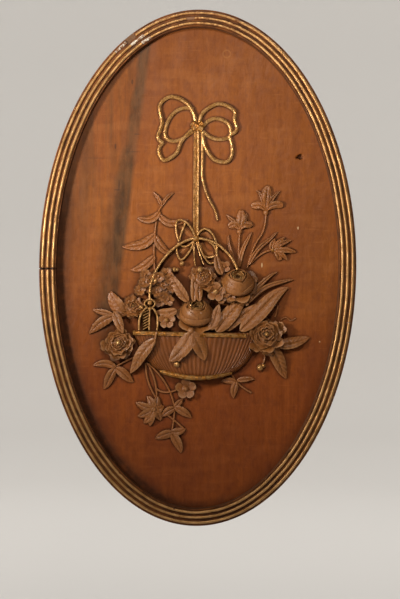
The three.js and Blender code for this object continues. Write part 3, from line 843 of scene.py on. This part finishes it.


# Heights of the carving on a grid, for the dirt and painted shade beside it

CELL = 2.0
NEAR_REACH = 3.5
WIDE_REACH = 11
BESIDE_REACH = 3.2
GRID_X = int(OVAL_WIDTH / CELL)
GRID_Z = int(OVAL_HEIGHT / CELL)


def height_grid(relief):
    """The relief's height above the ground at each cell, found by rays from the front."""
    mesh = relief.data
    tree = BVHTree.FromPolygons([v.co for v in mesh.vertices], [p.vertices for p in mesh.polygons])
    grid = np.zeros((GRID_X, GRID_Z))
    toward = Vector((0, 1, 0))
    for i in range(GRID_X):
        x = ((i + 0.5) * CELL - OVAL_WIDTH / 2) * MM
        for j in range(GRID_Z):
            z = ((j + 0.5) * CELL - OVAL_HEIGHT / 2) * MM
            hit = tree.ray_cast(Vector((x, -1, z)), toward)[0]
            if hit:
                grid[i, j] = max(0, -hit.y / MM - BOARD)
    return grid


def blurred(grid, reach):
    """The grid averaged over reach millimetres."""
    waves_x = np.fft.fftfreq(grid.shape[0])[:, None]
    waves_z = np.fft.rfftfreq(grid.shape[1])[None, :]
    soft = np.exp(-2 * (math.pi * reach / CELL) ** 2 * (waves_x**2 + waves_z**2))
    return np.fft.irfft2(np.fft.rfft2(grid) * soft, grid.shape)


def at_points(grid, x, z):
    """The grid's values at points, between its cells."""
    i = np.clip((x + OVAL_WIDTH / 2) / CELL - 0.5, 0, GRID_X - 1.001)
    j = np.clip((z + OVAL_HEIGHT / 2) / CELL - 0.5, 0, GRID_Z - 1.001)
    i0, j0 = i.astype(int), j.astype(int)
    fi, fj = i - i0, j - j0
    return ((grid[i0, j0] * (1 - fi) + grid[i0 + 1, j0] * fi) * (1 - fj)
            + (grid[i0, j0 + 1] * (1 - fi) + grid[i0 + 1, j0 + 1] * fi) * fj)


def mark(mesh, name, values):
    """Stores one value for each vertex, for the materials."""
    mesh.attributes.new(name, "FLOAT", "POINT").data.foreach_set("value", np.asarray(values, np.float32))


def mark_relief(mesh, near, wide):
    """Marks hollows and low places beside taller carving as dirt and painted shade, and edges as wear, from
    the mesh itself and from the heights about it.
    """
    count = len(mesh.vertices)
    places, normals, edges = np.empty(count * 3), np.empty(count * 3), np.empty(len(mesh.edges) * 2, int)
    mesh.vertices.foreach_get("co", places)
    mesh.vertex_normals.foreach_get("vector", normals)
    mesh.edges.foreach_get("vertices", edges)
    places, normals, edges = places.reshape(-1, 3) / MM, normals.reshape(-1, 3), edges.reshape(-1, 2)
    both = np.concatenate([edges, edges[:, ::-1]])
    number = np.maximum(np.bincount(both[:, 0], minlength=count), 1)
    gap = places[both[:, 1]] - places[both[:, 0]]
    reach = np.linalg.norm(gap, axis=1) + 0.2
    bend = np.bincount(both[:, 0], np.einsum("ij,ij->i", gap, normals[both[:, 0]]) / reach, count) / number
    soft = 0.5 * bend + 0.5 * np.bincount(both[:, 0], bend[both[:, 1]], count) / number
    height = -places[:, 1] - BOARD
    x, z = places[:, 0], places[:, 2]
    below = at_points(near, x, z) - height
    deep = at_points(wide, x, z) - height
    # Dirt and painted shade: creases, places lower than the carving about them and low places at its foot are
    # darkened
    dirt_and_shade = np.clip(soft * 2.4, 0, 1) + 0.6 * smooth(1, 9, below) + 0.36 * smooth(3, 18, deep)
    dirt_and_shade = dirt_and_shade + 0.25 * smooth(6, 0, height) * smooth(0, 3, below + 1)
    # Painted shade: surfaces that turn away from the front are darkened
    dirt_and_shade = dirt_and_shade + 0.35 * smooth(0.6, 0.15, -normals[:, 1])
    wear = np.clip(-soft * 2.2, 0, 1) * 0.7 + 0.5 * smooth(0, 9, -below)
    mark(mesh, "dirt_and_shade", np.clip(dirt_and_shade, 0, 1))
    mark(mesh, "wear", np.clip(wear, 0, 1))


GROUND_CELLS = (230, 370)
KNOT_HOLE = (246, 272)
KNOT_RADIUS = 7
KNOT_DEPTH = 9
KNOT_GATHER = 0.62
KNOT_GATHER_REACH = 22


def oval_grid():
    """A grid drawn out to the oval and gathered about the knot, and how far each point is from the frame."""
    rows, columns = [np.linspace(-1, 1, count + 1) for count in GROUND_CELLS]
    a, b = np.meshgrid(rows, columns, indexing="ij")
    sideways = np.abs(a) > np.abs(b)
    reach = np.where(sideways, a, b)
    share = np.where(sideways, b, a) / np.where(reach == 0, 1, reach)
    angle = np.where(sideways, math.pi / 4 * share, math.pi / 2 - math.pi / 4 * share)
    angle = np.where(reach < 0, angle + math.pi, angle)
    rim = on_oval(angle, np.full(angle.shape, FRAME_WIDTH - REBATE_WIDTH + REBATE_PLAY))
    flat = rim * np.abs(reach)[..., None]
    toward = np.array(KNOT_HOLE) - flat
    far = np.linalg.norm(toward, axis=-1, keepdims=True)
    flat = flat + toward * KNOT_GATHER * np.exp(-((far / KNOT_GATHER_REACH) ** 2))
    return flat[..., 0], flat[..., 1], (1 - np.abs(reach)) * np.linalg.norm(rim, axis=-1)


def knot_distance(x, z):
    """Millimetres from the middle of the knot hole, uneven round its edge."""
    round_knot = np.arctan2(z - KNOT_HOLE[1], x - KNOT_HOLE[0])
    from_knot = np.hypot(x - KNOT_HOLE[0], (z - KNOT_HOLE[1]) * 1.15)
    return from_knot * (1 + 0.16 * np.sin(3 * round_knot + 1) + 0.08 * np.sin(5 * round_knot))


def ground_dirt_and_shade(x, z, from_frame, from_knot, wide, beside):
    """Dirt and painted shade beside the carving, a painted shadow of the frame along its left and bottom, and
    darkening in the knot hole.
    """
    # Dirt and painted shade: a dark edge round the carving and a wider darkening beside its tall parts
    dirt_and_shade = 0.84 * smooth(0.03, 0.36, at_points(beside, x, z)) + 0.42 * smooth(0.5, 9, at_points(wide, x, z))
    dirt_and_shade = np.minimum(dirt_and_shade, 0.74 - 0.24 * smooth(20, 110, x))
    # Painted shadow of the frame on the ground, along its lower left and its left side
    lower_left_shadow = smooth(60, -160, z) * (1 - 0.55 * smooth(-60, 160, x))
    left = smooth(-30, -150, x) * smooth(270, 90, z)
    dirt_and_shade = dirt_and_shade + 0.85 * smooth(38, 12, from_frame) * lower_left_shadow + smooth(60, 14, from_frame) * left
    return np.clip(dirt_and_shade + smooth(KNOT_RADIUS + 1.2, KNOT_RADIUS - 1, from_knot), 0, 1)


def make_ground(material, near, wide, beside):
    """The board with its carved-back face, the knot hole in it and a flat back."""
    x, z, from_frame = oval_grid()
    from_knot = knot_distance(x, z)
    height = -0.45 + 0.18 * unevenness(x, z * 0.5, 46, 8) + 0.1 * unevenness(z, x, 17, 8)
    height = height - 0.5 * smooth(0.5, 5, at_points(near, x, z))
    hole = smooth(KNOT_RADIUS + 0.6, KNOT_RADIUS - 1.2, from_knot)
    height = np.minimum(height, 0) - KNOT_DEPTH * hole
    index = np.arange(x.size).reshape(x.shape)
    border = np.concatenate([index[:-1, 0], index[-1, :-1], index[:0:-1, -1], index[0, :0:-1]])
    vertices = np.stack([x, z, height], -1).reshape(-1, 3)
    under = vertices[border].copy()
    under[:, 2] = -BOARD
    below = len(vertices) + np.arange(len(border))
    side = (np.roll(border, -1), border, below, np.roll(below, -1))
    faces = faces_of([sheet(index), side]) + [below[::-1].tolist()]
    mesh = panel_mesh("carved_ground", np.concatenate([vertices, under]), faces, (material,))
    dirt_and_shade = ground_dirt_and_shade(x, z, from_frame, from_knot, wide, beside)
    mark(mesh, "dirt_and_shade", np.concatenate([dirt_and_shade.ravel(), np.full(len(border), 0.5)]))
    mesh.shade_smooth()
    return shown("carved_ground", mesh)


# The reeded frame, in two lengths

REED_CENTRES = (8.5, 21, 33.3)
REED_HALF = 4.1
REED_TOP = 46.9
GROOVE = 41
LIP = BOARD + GAP
RIGHT_JOINT = -12.2
LEFT_JOINT = 180.5
LEFT_GAP = 3
BREAK = (114.8, 118.4)
GESSO = ((8.5, 118.3, 123), (21, 112.3, 118), (33.3, 110.8, 114.6), (9, -12.5, -11.8))
BARE = (21, 92.1, 95.1)
RIGHT_SEAM = 0.1
LAP_SHARE = 1.95
RUN_RADIUS = 520
DENT_RADIUS = 380
DENTS = 90


def frame_profile():
    """Rows of (inset, height, gilding) round the moulding, from the back of its outer edge."""
    rows = [(0, 0, 0), (0, 10, 0), (0, 20, 0), (0, 30, 0.05), (0, 36, 0.15), (0, 39.5, 0.3)]
    rows += [(0.5, 41.2, 0.2), (1.6, 42, 0.22), (3, 42, 0.2), (4.0, 41.6, 0.1)]
    for centre in REED_CENTRES:
        for i in range(13):
            angle = math.pi * (1 - i / 12)
            rise = (REED_TOP - GROOVE) * math.sin(angle) ** 0.9
            rows.append((centre + REED_HALF * math.cos(angle), GROOVE + rise, float(smooth(2.5, 5.2, rise))))
        if centre < 30:
            rows += [(centre + 5.1, 40.6, 0), (centre + 6.2, 40.4, 0), (centre + 7.3, 40.6, 0)]
    rows += [(37.9, 41.3, 0.05), (38.6, 41.9, 0.2), (39.8, 41.9, 0.2), (40.7, 41.2, 0.1), (41, 39, 0.05)]
    rows += [(40.9, 35, 0.1), (40.9, 30, 0.1), (41.2, 25, 0.05), (42, LIP, 0), (35, LIP, 0), (28, LIP, 0)]
    rows += [(28, 10, 0), (28, 0, 0), (14, 0, 0)]
    return np.array(rows)


def along_frame(start, end):
    """Angles in degrees along a length of frame, closer together at the break."""
    marks = [start]
    while marks[-1] < end:
        here = marks[-1]
        marks.append(here + (0.13 if 108 < here < 125 else 0.4))
    marks[-1] = end
    return np.array(marks)


def dented(degrees, inset, front, height, gilding):
    """Small knocks along the reeds, with the gilding rubbed thin in each."""
    dents = np.random.default_rng(11)
    for _ in range(DENTS):
        place, reed = dents.uniform(-12, 348), dents.choice(REED_CENTRES) + dents.uniform(-3, 3)
        size, depth = dents.uniform(1.2, 3.4), dents.uniform(0.2, 0.8)
        if degrees[0] < place < degrees[-1]:
            far = np.hypot((degrees[:, None] - place) * math.pi / 180 * DENT_RADIUS, (inset - reed) * 1.3)
            dent = np.exp(-((far / size) ** 2)) * front
            height = height - depth * dent
            gilding = gilding - 0.6 * dent
    return height, gilding


def chipped(degrees, inset, front, rough, height, gilding):
    """Ragged places where the gilding has come off a reed, and how white each of them is."""
    gesso = 0 * height
    patches = [(centre, first, last, 1.0) for centre, first, last in GESSO] + [(*BARE, 0.5)]
    for centre, first, last, strength in patches:
        patch = smooth(first - 0.2, first + 0.3, degrees) * smooth(last + 0.2, last - 0.3, degrees)
        patch = patch[:, None] * smooth(4.6, 3, np.abs(inset - centre)) * front
        ragged = smooth(0.3, 0.7, patch + 0.35 * rough) * smooth(0.02, 0.2, patch)
        gesso = np.maximum(gesso, ragged * strength)
        height = height - 0.5 * ragged * strength
        gilding = gilding * (1 - ragged)
    return height, gilding, gesso


def make_frame(name, start, end, lap, material):
    """One length of the oval moulding with its dents and broken reed; its back laps over the start by lap."""
    degrees = along_frame(start, end)
    rows = frame_profile()
    angle = np.radians(degrees)[:, None] + 0 * rows[None, :, 0]
    inset = rows[None, :, 0] + 0 * angle
    height = rows[None, :, 1] + 0 * angle
    gilding = rows[None, :, 2] + 0 * angle
    run = np.radians(degrees)[:, None] * RUN_RADIUS
    front = smooth(38, 41, height)
    waver = unevenness(run, 40 * inset, 150, 7)
    nick = unevenness(run, 9 * inset, 23, 9)
    height = height + front * (0.16 * waver + 0.1 * nick)
    inset = inset + smooth(5, 8, inset) * smooth(40, 37, inset) * 0.25 * unevenness(run, inset, 120, 5)
    height, gilding = dented(degrees, inset, front, height, gilding)
    rough = 0.5 * unevenness(run * 7, inset * 7, 20, 9)
    first, last = BREAK
    broken = smooth(first - 0.1, first + 0.15, degrees) * smooth(last + 0.12, last - 0.1, degrees)
    broken = broken[:, None] * smooth(14.2, 12.6, inset) * smooth(30, 38, height)
    height = height + broken * (np.minimum(height, 40.4 + 0.8 * rough) - height)
    gilding = gilding * (1 - broken)
    from_top = np.abs(degrees - 90)
    from_bottom = np.abs(degrees - 270)
    # Less gilding towards the top and bottom of the oval: partly wear, partly painted shade where the light
    # falls dimmer
    rubbed = 0.44 * smooth(36, 14, from_top) + 0.16 * smooth(30, 12, from_bottom)
    gilding = gilding - rubbed[:, None]
    joint_cut = smooth(0.36, 0.2, np.abs(degrees - LEFT_JOINT))[:, None] * front
    gilding = gilding * (1 - 0.9 * joint_cut)
    height = height - 0.5 * joint_cut
    height, gilding, gesso = chipped(degrees, inset, front, rough, height, gilding)
    angle[0] = angle[0] - math.radians(lap) * smooth(16, 14, height[0])
    plan = on_oval(angle, inset)
    vertices = np.concatenate([plan, (height - BOARD)[..., None]], -1)
    n, m = height.shape
    index = np.arange(n * m).reshape(n, m)
    after = np.roll(index, -1, 1)
    faces = faces_of([(index[:-1], after[:-1], after[1:], index[1:])])
    faces += [index[0, ::-1].tolist(), index[-1].tolist()]
    mesh = panel_mesh(name, vertices.reshape(-1, 3), faces, (material,))
    mark(mesh, "gilding", np.clip(gilding, 0, 1).ravel())
    mark(mesh, "gesso", np.clip(gesso, 0, 1).ravel())
    mark(mesh, "broken", broken.ravel())
    mark(mesh, "front", smooth(34, 41, rows[None, :, 1] + 0 * height).ravel())
    mesh.shade_smooth()
    mesh.set_sharp_from_angle(angle=math.radians(50))
    return shown(name, mesh)


# Materials

# Wood tones in linear red, green and blue: light, fine grain and dark

GROUND_WOOD = ((0.284, 0.085, 0.0115), (0.213, 0.06, 0.0075), (0.232, 0.066, 0.009))
CARVED_WOOD = ((0.305, 0.112, 0.025), (0.225, 0.078, 0.016), (0.255, 0.09, 0.019))
BACK_WOOD = ((0.24, 0.11, 0.04), (0.17, 0.07, 0.024), (0.2, 0.086, 0.03))
FRAME_WOOD = ((0.13, 0.05, 0.018), (0.085, 0.032, 0.011), (0.1, 0.038, 0.013))
DUST = (0.41, 0.2, 0.078)

# Patches on the ground: noise scale, stretch, detail, roughness, low and high of the step, share and tone

GROUND_PATCHES = (
    (7, (1, 1, 0.5), 5, 0.62, 0.4, 0.68, 0.7, (0.18, 0.048, 0.009)),
    (48, (1, 1, 0.8), 5, 0.65, 0.44, 0.66, 0.5, (0.16, 0.044, 0.01)),
    (120, (0.12, 1, 1.6), 4, 0.6, 0.6, 0.74, 0.3, (0.36, 0.13, 0.035)),
    (34, (0.25, 1, 1), 3, 0.5, 0.5, 0.7, 0.25, (0.34, 0.118, 0.028)),
)

# The slanting streak in metres: a point at its top, and how far it leans for each metre up

STREAK_TOP = (-0.123, 0.515)
STREAK_LEAN = 0.118

# Small marks on the ground in panel millimetres: place, and half width and height

DARK_MARKS = (
    ((-150, 324), (8, 1.2)), ((-158, 281), (18, 0.8)), ((-251, 265), (30, 0.7)), ((-193, 200), (2, 14)),
    ((-197, 188), (9, 1.6)), ((-163, 451), (3, 6)), ((-203, 294), (2.4, 7)), ((282, 420), (2, 3)),
)
RING_AT, RING_OUTSIDE, RING_INSIDE = (66, 521), (11, 11), (8, 8)
PALE_FLECKS = (((156, 8), (1.6, 6)), ((243, 99), (1.4, 4)), ((298, -177), (1.8, 1.8)))


class Surface:
    """A material under construction: short calls that add nodes and give back their output."""

    def __init__(self, name, specular=0.3):
        self.material = bpy.data.materials.new(name)
        self.material.use_nodes = True
        self.nodes = self.material.node_tree.nodes
        self.links = self.material.node_tree.links
        self.shader = self.nodes["Principled BSDF"]
        self.shader.inputs["Specular IOR Level"].default_value = specular
        self.place = self.add("TexCoord", {}, "Object")
        self.x, self.y, self.z = self.add("SeparateXYZ", {0: self.place}).node.outputs

    def put(self, socket, value):
        if isinstance(value, bpy.types.NodeSocket):
            self.links.new(value, socket)
        elif isinstance(value, tuple) and len(value) == 3 and socket.type == "RGBA":
            socket.default_value = (*value, 1)
        else:
            socket.default_value = value

    def add(self, kind, inputs, output=0, **settings):
        """A new node with its settings and inputs, and the output that is wanted of it."""
        made = self.nodes.new("ShaderNode" + kind)
        for key, value in settings.items():
            setattr(made, key, value)
        for key, value in inputs.items():
            self.put(made.inputs[key], value)
        return made.outputs[output]

    def stretched(self, scale):
        return self.add("VectorMath", {0: self.place, 1: scale}, operation="MULTIPLY")

    def noise(self, scale, stretch=(1, 1, 1), detail=4, roughness=0.5, distortion=0.0):
        inputs = {"Vector": self.stretched(stretch), "Scale": scale, "Detail": detail}
        inputs |= {"Roughness": roughness, "Distortion": distortion}
        return self.add("TexNoise", inputs, "Fac")

    def spots(self, scale):
        return self.add("TexVoronoi", {"Vector": self.place, "Scale": scale}, "Distance")

    def mark(self, name):
        return self.add("Attribute", {}, "Fac", attribute_name=name)

    def math(self, kind, a, b):
        return self.add("Math", {0: a, 1: b}, operation=kind)

    def times(self, a, b):
        return self.math("MULTIPLY", a, b)

    def plus(self, a, b):
        return self.math("ADD", a, b)

    def minus(self, a, b):
        return self.math("SUBTRACT", a, b)

    def most(self, a, b):
        return self.math("MAXIMUM", a, b)

    def step(self, value, low, high, to_low=0.0, to_high=1.0):
        inputs = {"Value": value, "From Min": low, "From Max": high, "To Min": to_low, "To Max": to_high}
        return self.add("MapRange", inputs, interpolation_type="SMOOTHSTEP")

    def patches(self, scale, low, high, to_low=0.0, to_high=1.0, stretch=(1, 1, 1), detail=4, roughness=0.5):
        return self.step(self.noise(scale, stretch, detail, roughness), low, high, to_low, to_high)

    def blend(self, share, a, b, kind="MIX"):
        return self.add("Mix", {0: share, 6: a, 7: b}, 2, data_type="RGBA", blend_type=kind)

    def bumps(self, *layers):
        """The normal under layers of (height, distance in metres), one over the other."""
        inputs = {}
        for height, distance in layers:
            inputs["Normal"] = self.add("Bump", {"Height": height, "Distance": distance, **inputs})
        return inputs["Normal"]

    def finish(self, colour, roughness, normal, metallic=0.0):
        inputs = {"Base Color": colour, "Roughness": roughness, "Normal": normal, "Metallic": metallic}
        for key, value in inputs.items():
            self.put(self.shader.inputs[key], value)
        return self.material


def grained(s, wood, pore_depth):
    """Vertical wood grain: broad bands, fine streaks and short dark pores."""
    light, middle, dark = wood
    bands = s.noise(26, (1, 1, 0.08), 5, 0.55, 0.6)
    fine = s.noise(170, (1, 1, 0.03), 6, 0.6, 0.2)
    pore = s.patches(900, 0.6, 0.72, 0, 1, (1, 1, 0.035), 3)
    tone = s.blend(s.step(bands, 0.34, 0.66), dark, light)
    tone = s.blend(s.step(fine, 0.3, 0.65, 0.7, 0), tone, middle)
    tone = s.blend(s.times(pore, pore_depth), tone, tuple(0.4 * c for c in dark))
    return tone, fine, pore


def dirtied_and_shaded(s, tone, patches, share, colour):
    """Dirt and painted shade over a tone where the mesh is marked for it, thinner in patches."""
    return s.blend(s.times(s.times(s.mark("dirt_and_shade"), patches), share), tone, colour)


def fleck(s, at, size):
    """A small round or oval spot on the panel, its place and half sizes in millimetres."""
    across = s.math("DIVIDE", s.minus(s.x, at[0] * MM), size[0] * MM)
    up = s.math("DIVIDE", s.minus(s.z, at[1] * MM), size[1] * MM)
    return s.step(s.plus(s.times(across, across), s.times(up, up)), 1.2, 0.6)


def streak_cover(s):
    """How dark the slanting streak is: sharp on its right, ragged on its left, with faint ones beyond."""
    wander = s.times(s.minus(s.noise(11, (1, 1, 0.4), 5), 0.5), 0.05)
    line_x = s.plus(s.times(s.minus(s.z, STREAK_TOP[1]), STREAK_LEAN), STREAK_TOP[0])
    beside = s.minus(s.x, line_x)
    edge = s.step(s.plus(beside, s.times(wander, 0.2)), 0.006, -0.008)
    wide = s.step(s.z, 0.5, 0.05, 0.03, 0.07)
    left = s.step(s.plus(beside, wander), s.times(wide, -1), -0.02)
    ends = s.step(s.z, -0.24, -0.1)
    grain = s.patches(70, 0.3, 0.6, 0.75, 1, (1, 1, 0.05), 5, 0.6)
    streak = s.times(s.times(edge, left), s.times(ends, grain))
    faint = s.patches(38, 0.42, 0.62, 0, 0.5, (1, 1, 0.06), 5, 0.6)
    faint = s.times(s.times(faint, s.step(s.z, -0.05, 0.2)), s.step(beside, -0.01, -0.05))
    cloud = s.patches(30, 0.34, 0.56, 0.72, 1, (1, 1, 0.6), 6, 0.65)
    return s.most(s.times(streak, cloud), faint)


def ground_material():
    """Red-brown wood with a dark slanting streak, dirt and painted shade beside the carving, painted shade
    towards the bottom and scraper marks.
    """
    s = Surface("carved_ground", 0.2)
    tone, fine, pore = grained(s, GROUND_WOOD, 0.2)
    for scale, stretch, detail, roughness, low, high, share, colour in GROUND_PATCHES:
        tone = s.blend(s.patches(scale, low, high, 0, share, stretch, detail, roughness), tone, colour)
    # Painted shade: the ground darker and less blue towards the bottom
    tone = s.blend(s.step(s.z, 0.06, -0.36), tone, (0.9, 0.69, 0.52), "MULTIPLY")
    # Darker and less blue towards the top
    tone = s.blend(s.step(s.z, 0.2, 0.5), tone, (0.86, 0.84, 0.74), "MULTIPLY")
    cloudy = s.patches(42, 0.4, 0.6, stretch=(1, 1, 0.4))
    tone = s.blend(streak_cover(s), tone, s.blend(cloudy, (0.056, 0.023, 0.006), (0.098, 0.041, 0.012)))
    for at, size in DARK_MARKS:
        tone = s.blend(s.times(fleck(s, at, size), 0.6), tone, (0.05, 0.02, 0.009))
    ring = s.minus(fleck(s, RING_AT, RING_OUTSIDE), fleck(s, RING_AT, RING_INSIDE))
    tone = s.blend(s.times(ring, 0.3), tone, (0.36, 0.15, 0.04))
    specks = s.times(s.step(s.spots(48), 0.05, 0.02), s.patches(18, 0.58, 0.66))
    tone = s.blend(s.times(specks, 0.8), tone, (0.03, 0.012, 0.006))
    for at, size in PALE_FLECKS:
        tone = s.blend(s.times(fleck(s, at, size), 0.85), tone, (0.62, 0.42, 0.22))
    # Dirt and painted shade where the mesh is marked for it
    tone = dirtied_and_shaded(s, tone, s.patches(70, 0.25, 0.6, 0.65, 1), 0.87, (0.04, 0.012, 0.003))
    tone = s.blend(s.step(s.y, -0.011, -0.004), tone, grained(s, BACK_WOOD, 0.4)[0])
    scraped = s.noise(45, (1, 1, 0.5), 4, 0.5, 0.4)
    normal = s.bumps((scraped, 0.002), (fine, 0.00022), (pore, -0.0001))
    roughness = s.patches(24, 0.3, 0.7, 0.5, 0.62, (1, 1, 0.4))
    return s.finish(tone, s.most(roughness, s.times(s.mark("dirt_and_shade"), 0.75)), normal)


def relief_material(name, depth):
    """The carving's duller brown, dusty where it stands out, with dirt and painted shade in its hollows."""
    s = Surface(name, 0.38)
    *wood, dusty = [tuple(c * d for c, d in zip(tone, depth)) for tone in (*CARVED_WOOD, DUST)]
    tone, fine, pore = grained(s, wood, 0.2)
    tone = s.blend(s.times(s.step(s.y, -0.036, -0.024), 0.8), tone, (0.27, 0.082, 0.014))
    tone = s.blend(s.patches(30, 0.4, 0.68, 0, 0.5), tone, tuple(0.72 * c for c in wood[1]))
    dust = s.times(s.mark("wear"), s.patches(60, 0.25, 0.6, 0.4, 1, detail=5))
    tone = s.blend(s.times(dust, 0.8), tone, dusty)
    # Dirt and painted shade in the hollows and on sides turned from the front
    tone = dirtied_and_shaded(s, tone, s.patches(110, 0.2, 0.55, 0.65, 1), 0.84, (0.04, 0.014, 0.003))
    cuts = s.noise(200, (1, 1, 0.5), 4, 0.55, 0.5)
    normal = s.bumps((cuts, 0.0012), (fine, 0.00035), (pore, -0.0003))
    roughness = s.patches(40, 0.3, 0.7, 0.32, 0.48)
    return s.finish(tone, s.most(roughness, s.times(s.mark("dirt_and_shade"), 0.8)), normal)


def gilt_material(name, rubbed, pale, bright):
    """Old gilding on the carving: dull gold, red-brown bole where it is rubbed, dirt and painted shade in the
    hollows.
    """
    s = Surface(name)
    gold = s.blend(s.patches(85, 0.3, 0.7, detail=5), pale, bright)
    worn = s.plus(s.noise(120, detail=6, roughness=0.65), rubbed)
    bare = s.step(s.plus(worn, s.times(s.mark("wear"), 0.05)), 0.56, 0.66)
    bole = s.blend(s.patches(60, 0.4, 0.6), (0.2, 0.085, 0.022), (0.3, 0.16, 0.045))
    tone = s.blend(bare, gold, bole)
    tone = s.blend(s.patches(290, 0.5, 0.62, 0, 0.6, detail=3), tone, (0.15, 0.062, 0.014))
    # Dirt and painted shade in the hollows darken the gold and dull its metal
    dirt_and_shade = s.times(s.step(s.mark("dirt_and_shade"), 0.12, 0.85), s.patches(160, 0.2, 0.6, 0.75, 1))
    tone = s.blend(s.times(dirt_and_shade, 0.92), tone, (0.05, 0.021, 0.006))
    cover = s.times(s.minus(1, bare), s.minus(1, s.times(dirt_and_shade, 0.9)))
    normal = s.bumps((s.noise(420), 0.0005), (bare, -0.00015))
    roughness = s.most(s.patches(150, 0.3, 0.7, 0.24, 0.4), s.times(s.minus(1, cover), 0.65))
    return s.finish(tone, roughness, normal, s.times(cover, 0.5))


def frame_material():
    """The frame's gilding: worn gold on the reeds, brown bole in the grooves, white gesso where it broke."""
    s = Surface("frame_gilding")
    gold = s.blend(s.patches(45, 0.3, 0.7, detail=5), (0.38, 0.192, 0.062), (0.58, 0.33, 0.13))
    brown = s.blend(s.patches(38, 0.35, 0.65, detail=5), (0.08, 0.024, 0.004), (0.17, 0.052, 0.008))
    brown = s.blend(s.mark("front"), grained(s, FRAME_WOOD, 0.4)[0], brown)
    scatter = s.minus(s.noise(130, detail=7, roughness=0.68), 0.5)
    amount = s.plus(s.mark("gilding"), s.times(scatter, 1.5))
    cover = s.step(amount, 0.34, 0.62)
    bole = s.step(s.math("ABSOLUTE", s.minus(amount, 0.42), 0), 0.16, 0)
    tone = s.blend(cover, s.blend(s.times(bole, 0.7), brown, (0.3, 0.12, 0.04)), gold)
    chalk = s.mark("gesso")
    white = s.times(s.step(chalk, 0.55, 0.9), s.patches(110, 0.44, 0.54, detail=6, roughness=0.72))
    pink = s.minus(s.step(chalk, 0.25, 0.45), white)
    tone = s.blend(s.step(chalk, 0.3, 0.8), tone, (0.2, 0.13, 0.08))
    tone = s.blend(white, tone, s.blend(s.patches(300, 0.3, 0.6), (0.52, 0.44, 0.34), (0.72, 0.66, 0.55)))
    tone = s.blend(pink, tone, (0.24, 0.12, 0.06))
    raw = s.mark("broken")
    tone = s.blend(raw, tone, s.blend(s.noise(200), (0.1, 0.045, 0.018), (0.2, 0.1, 0.045)))
    metal = s.times(cover, s.minus(1, s.most(s.most(white, pink), raw)))
    normal = s.bumps((s.noise(330, detail=5), 0.0005), (cover, 0.00015))
    roughness = s.patches(70, 0.3, 0.7, 0.36, 0.48, detail=5)
    roughness = s.plus(roughness, s.times(s.minus(1, metal), 0.25))
    return s.finish(tone, roughness, normal, s.times(metal, 0.58))


make_camera()
make_stage()
make_lights()
worn_gilding = gilt_material("worn_gilding", 0.02, (0.42, 0.2, 0.052), (0.62, 0.355, 0.14))
dull_gilding = gilt_material("dull_gilding", 0.08, (0.24, 0.082, 0.008), (0.42, 0.175, 0.026))
carving = relief_material("carved_wood", (1, 1, 1))
basket_wood = relief_material("basket_wood", (0.76, 0.62, 0.46))
relief = carve_relief((carving, worn_gilding, dull_gilding, basket_wood))
relief.data.shade_smooth()
relief.data.set_sharp_from_angle(angle=math.radians(38))
heights = height_grid(relief)
near_heights, wide_heights = blurred(heights, NEAR_REACH), blurred(heights, WIDE_REACH)
mark_relief(relief.data, near_heights, wide_heights)
beside_relief = blurred((heights > 0.8).astype(float), BESIDE_REACH)
ground = make_ground(ground_material(), near_heights, wide_heights, beside_relief)
for piece in (relief, ground):
    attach(piece, "root")
    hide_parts("carved_panel")
gilding = frame_material()
gap = math.degrees(LEFT_GAP / OVAL_HEIGHT)
seam = math.degrees(RIGHT_SEAM / OVAL_HEIGHT)
upper = make_frame("reeded_frame_upper", RIGHT_JOINT, LEFT_JOINT - gap, 0, gilding)
lower_end = RIGHT_JOINT + 360 - seam
lower = make_frame("reeded_frame_lower", LEFT_JOINT + gap, lower_end, LAP_SHARE * gap, gilding)
for piece, solid in ((upper, "frame_upper"), (lower, "frame_lower")):
    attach(piece, "root")
    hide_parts(solid)

for piece in (relief, ground, upper, lower):
    print(piece.name, sum(len(p.vertices) - 2 for p in piece.data.polygons))
